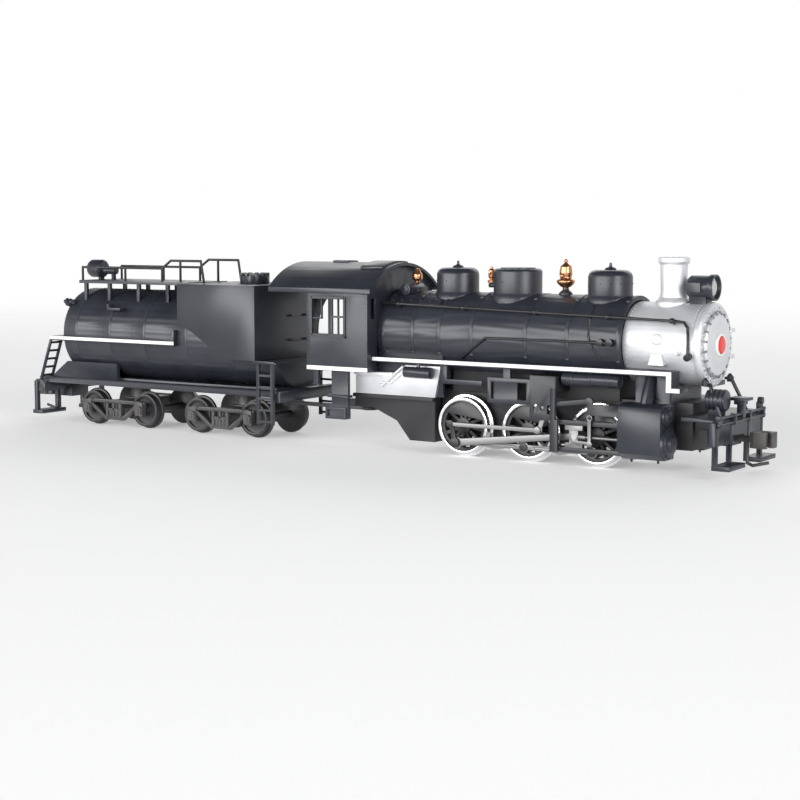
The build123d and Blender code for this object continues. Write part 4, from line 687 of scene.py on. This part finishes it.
def add_spring(shape, place, z, radius, turns, wire=0.2):
    """A coil spring standing at an X, Y place between two heights."""
    per_turn = 12
    sides = 6
    count = turns * per_turn
    rings = []
    for k in range(count + 1):
        a = 2 * pi * k / per_turn
        height = z[0] + (z[1] - z[0]) * k / count
        ring = []
        for j in range(sides):
            b = 2 * pi * j / sides
            reach = radius + wire * cos(b)
            spot = Vector((place[0] + reach * cos(a), place[1] + reach * sin(a), height + wire * sin(b)))
            ring.append(shape.verts.new(spot * MM))
        rings.append(ring)
    for ring, after in zip(rings, rings[1:]):
        for j in range(sides):
            beside = (j + 1) % sides
            shape.faces.new((ring[j], ring[beside], after[beside], after[j]))


def make_truck_details():
    """Journal lids, columns with their bolts, and coil springs on both trucks."""
    for truck in ("rear_truck", "front_truck"):
        centre = middle(truck)
        face = high(truck).y
        shape = bmesh.new()
        for side in SIDES:
            for wheelset in (truck + "_rear_wheelset", truck + "_front_wheelset"):
                add_journal_box(shape, side, face, middle(wheelset))
            add_column_bars(shape, side, face, centre.x)
        add_piece(truck + "_boxes", shape, TRUCK, truck, 0.04)
        shape = bmesh.new()
        for side in SIDES:
            for dx in (-1.15, 1.15):
                add_spring(shape, (centre.x + dx, side * (face - 1.2)), (2.9, 5.2), 1.0, 4)
        add_piece(truck + "_springs", shape, TRUCK, truck, 0, 60.0)


# ---- CAD pieces: their own mesh, with finer edges and a finish ----------------------
def dress_cad(edge_mm=0.1, edge_angle=32.0, weld_mm=0.002):
    """Weld, bevel and smooth every CAD node, and give it its slot's material."""
    slots = {part["node"]: part["material_slot"] for part in frame["record"]["subparts"]}
    for name, thing in frame["nodes"].items():
        thing.data.materials.clear()
        thing.data.materials.append(SLOT_MATERIAL[slots[name]])
        for polygon in thing.data.polygons:
            polygon.use_smooth = True
        weld = thing.modifiers.new("weld", "WELD")
        weld.merge_threshold = weld_mm * MM
        bevel = thing.modifiers.new("edges", "BEVEL")
        bevel.width = edge_mm * MM
        bevel.segments = 2
        bevel.limit_method = "ANGLE"
        bevel.angle_limit = radians(edge_angle)
        bevel.harden_normals = True


dress_cad()
make_smokebox_details()
make_pipe_casings()
make_front_bolts()
make_plate_ring()
make_marker_lamps()
make_white_edges()
make_cab_details()
make_boiler_details()
make_handrail_knobs()
make_firebox_details()
make_roof_strips()
make_dome_details()
make_bell()
make_tank_details()
make_bunker_details()
make_truck_details()
make_cylinder_details()


# ---- stage, lights and camera -------------------------------------------------------
def fade_floor(tree, shader, place, near_mm=350.0, far_mm=900.0):
    """Beyond far_mm from the middle the floor is the background's white."""
    away = tree.nodes.new("ShaderNodeVectorMath")
    away.operation = "LENGTH"
    tree.links.new(place, away.inputs[0])
    share = tree.nodes.new("ShaderNodeMapRange")
    share.inputs["From Min"].default_value = near_mm * MM
    share.inputs["From Max"].default_value = far_mm * MM
    tree.links.new(away.outputs["Value"], share.inputs["Value"])
    white = tree.nodes.new("ShaderNodeEmission")
    mix = tree.nodes.new("ShaderNodeMixShader")
    tree.links.new(share.outputs["Result"], mix.inputs["Fac"])
    tree.links.new(shader.outputs["BSDF"], mix.inputs[1])
    tree.links.new(white.outputs["Emission"], mix.inputs[2])
    tree.links.new(mix.outputs["Shader"], tree.nodes["Material Output"].inputs["Surface"])


FLOOR_GLOW = 0.3
FLOOR_GAP = 0.02               # below the lowest wheel, in mm


def make_floor(radius_mm=6000.0):
    """A pale disc that fades into the background's white far from the model."""
    mesh = bpy.data.meshes.new("floor")
    shape = bmesh.new()
    bmesh.ops.create_circle(shape, cap_ends=True, segments=96, radius=radius_mm * MM)
    shape.to_mesh(mesh)
    shape.free()
    floor = bpy.data.objects.new("floor", mesh)
    bpy.context.collection.objects.link(floor)
    floor.location.z = cad_box[0].z - FLOOR_GAP * MM
    material, tree, shader, place = nodes_of("floor")
    paper = noise(tree, place, 900.0)
    tree.links.new(two_tone(tree, paper, (0.8, 0.8, 0.8), (0.84, 0.84, 0.84)), shader.inputs["Base Color"])
    shader.inputs["Roughness"].default_value = 0.9
    shader.inputs["Emission Color"].default_value = (1, 1, 1, 1)
    shader.inputs["Emission Strength"].default_value = FLOOR_GLOW
    bumped(tree, shader, paper, 0.05, 0.05)
    fade_floor(tree, shader, place)
    mesh.materials.append(material)


def area_light(name, place_mm, target_mm, size_mm, watts):
    """A rectangular softbox that faces its target."""
    data = bpy.data.lights.new(name, "AREA")
    data.shape = "RECTANGLE"
    data.size = size_mm[0] * MM
    data.size_y = size_mm[1] * MM
    data.energy = watts
    light = bpy.data.objects.new(name, data)
    bpy.context.collection.objects.link(light)
    place = Vector(place_mm) * MM
    light.location = place
    light.rotation_euler = (Vector(target_mm) * MM - place).to_track_quat("-Z", "Y").to_euler()


HORIZON = (1.0, 1.0, 1.0, 1)
OVERHEAD = (0.1, 0.104, 0.112, 1)


def make_world():
    """A room that is white round the horizon and dim overhead."""
    world = bpy.data.worlds.new("studio")
    world.use_nodes = True
    tree = world.node_tree
    place = tree.nodes.new("ShaderNodeTexCoord").outputs["Generated"]
    split = tree.nodes.new("ShaderNodeSeparateXYZ")
    tree.links.new(place, split.inputs["Vector"])
    ramp = tree.nodes.new("ShaderNodeValToRGB")
    stops = ramp.color_ramp.elements
    stops[0].position = 0.2
    stops[0].color = HORIZON
    stops[1].position = 0.5
    stops[1].color = OVERHEAD
    tree.links.new(split.outputs["Z"], ramp.inputs["Fac"])
    tree.links.new(ramp.outputs["Color"], tree.nodes["Background"].inputs["Color"])
    bpy.context.scene.world = world


def make_lights():
    """A long low softbox in front of the engine's right side, and weaker ones ahead and behind."""
    area_light("key", (-300, -1050, 240), (0, 0, 25), (1600, 380), 13.5)
    area_light("ahead", (950, -420, 300), (60, 0, 25), (500, 400), 5.5)
    area_light("behind", (-200, 900, 600), (0, 0, 20), (1400, 500), 4.0)


CAMERA_LENS = 75.0
SENSOR_WIDTH = 36.0
NEAREST = 0.01                 # metres
CAMERA_TARGET = (14.2, 0.0, 12.5)
CAMERA_DISTANCE = 453.7
CAMERA_TURN = radians(33.4)
CAMERA_RISE = radians(5.96)


def make_camera():
    """The photograph's view: turned towards the engine's front right, low, level horizon."""
    level = cos(CAMERA_RISE)
    back = Vector((sin(CAMERA_TURN) * level, -cos(CAMERA_TURN) * level, sin(CAMERA_RISE)))
    data = bpy.data.cameras.new("camera")
    data.lens = CAMERA_LENS
    data.sensor_width = SENSOR_WIDTH
    data.clip_start = NEAREST
    camera = bpy.data.objects.new("camera", data)
    bpy.context.collection.objects.link(camera)
    camera.location = (Vector(CAMERA_TARGET) + back * CAMERA_DISTANCE) * MM
    camera.rotation_euler = back.to_track_quat("Z", "Y").to_euler()
    bpy.context.scene.camera = camera


make_floor()
make_world()
make_lights()
make_camera()
bpy.context.scene.view_settings.view_transform = "Standard"
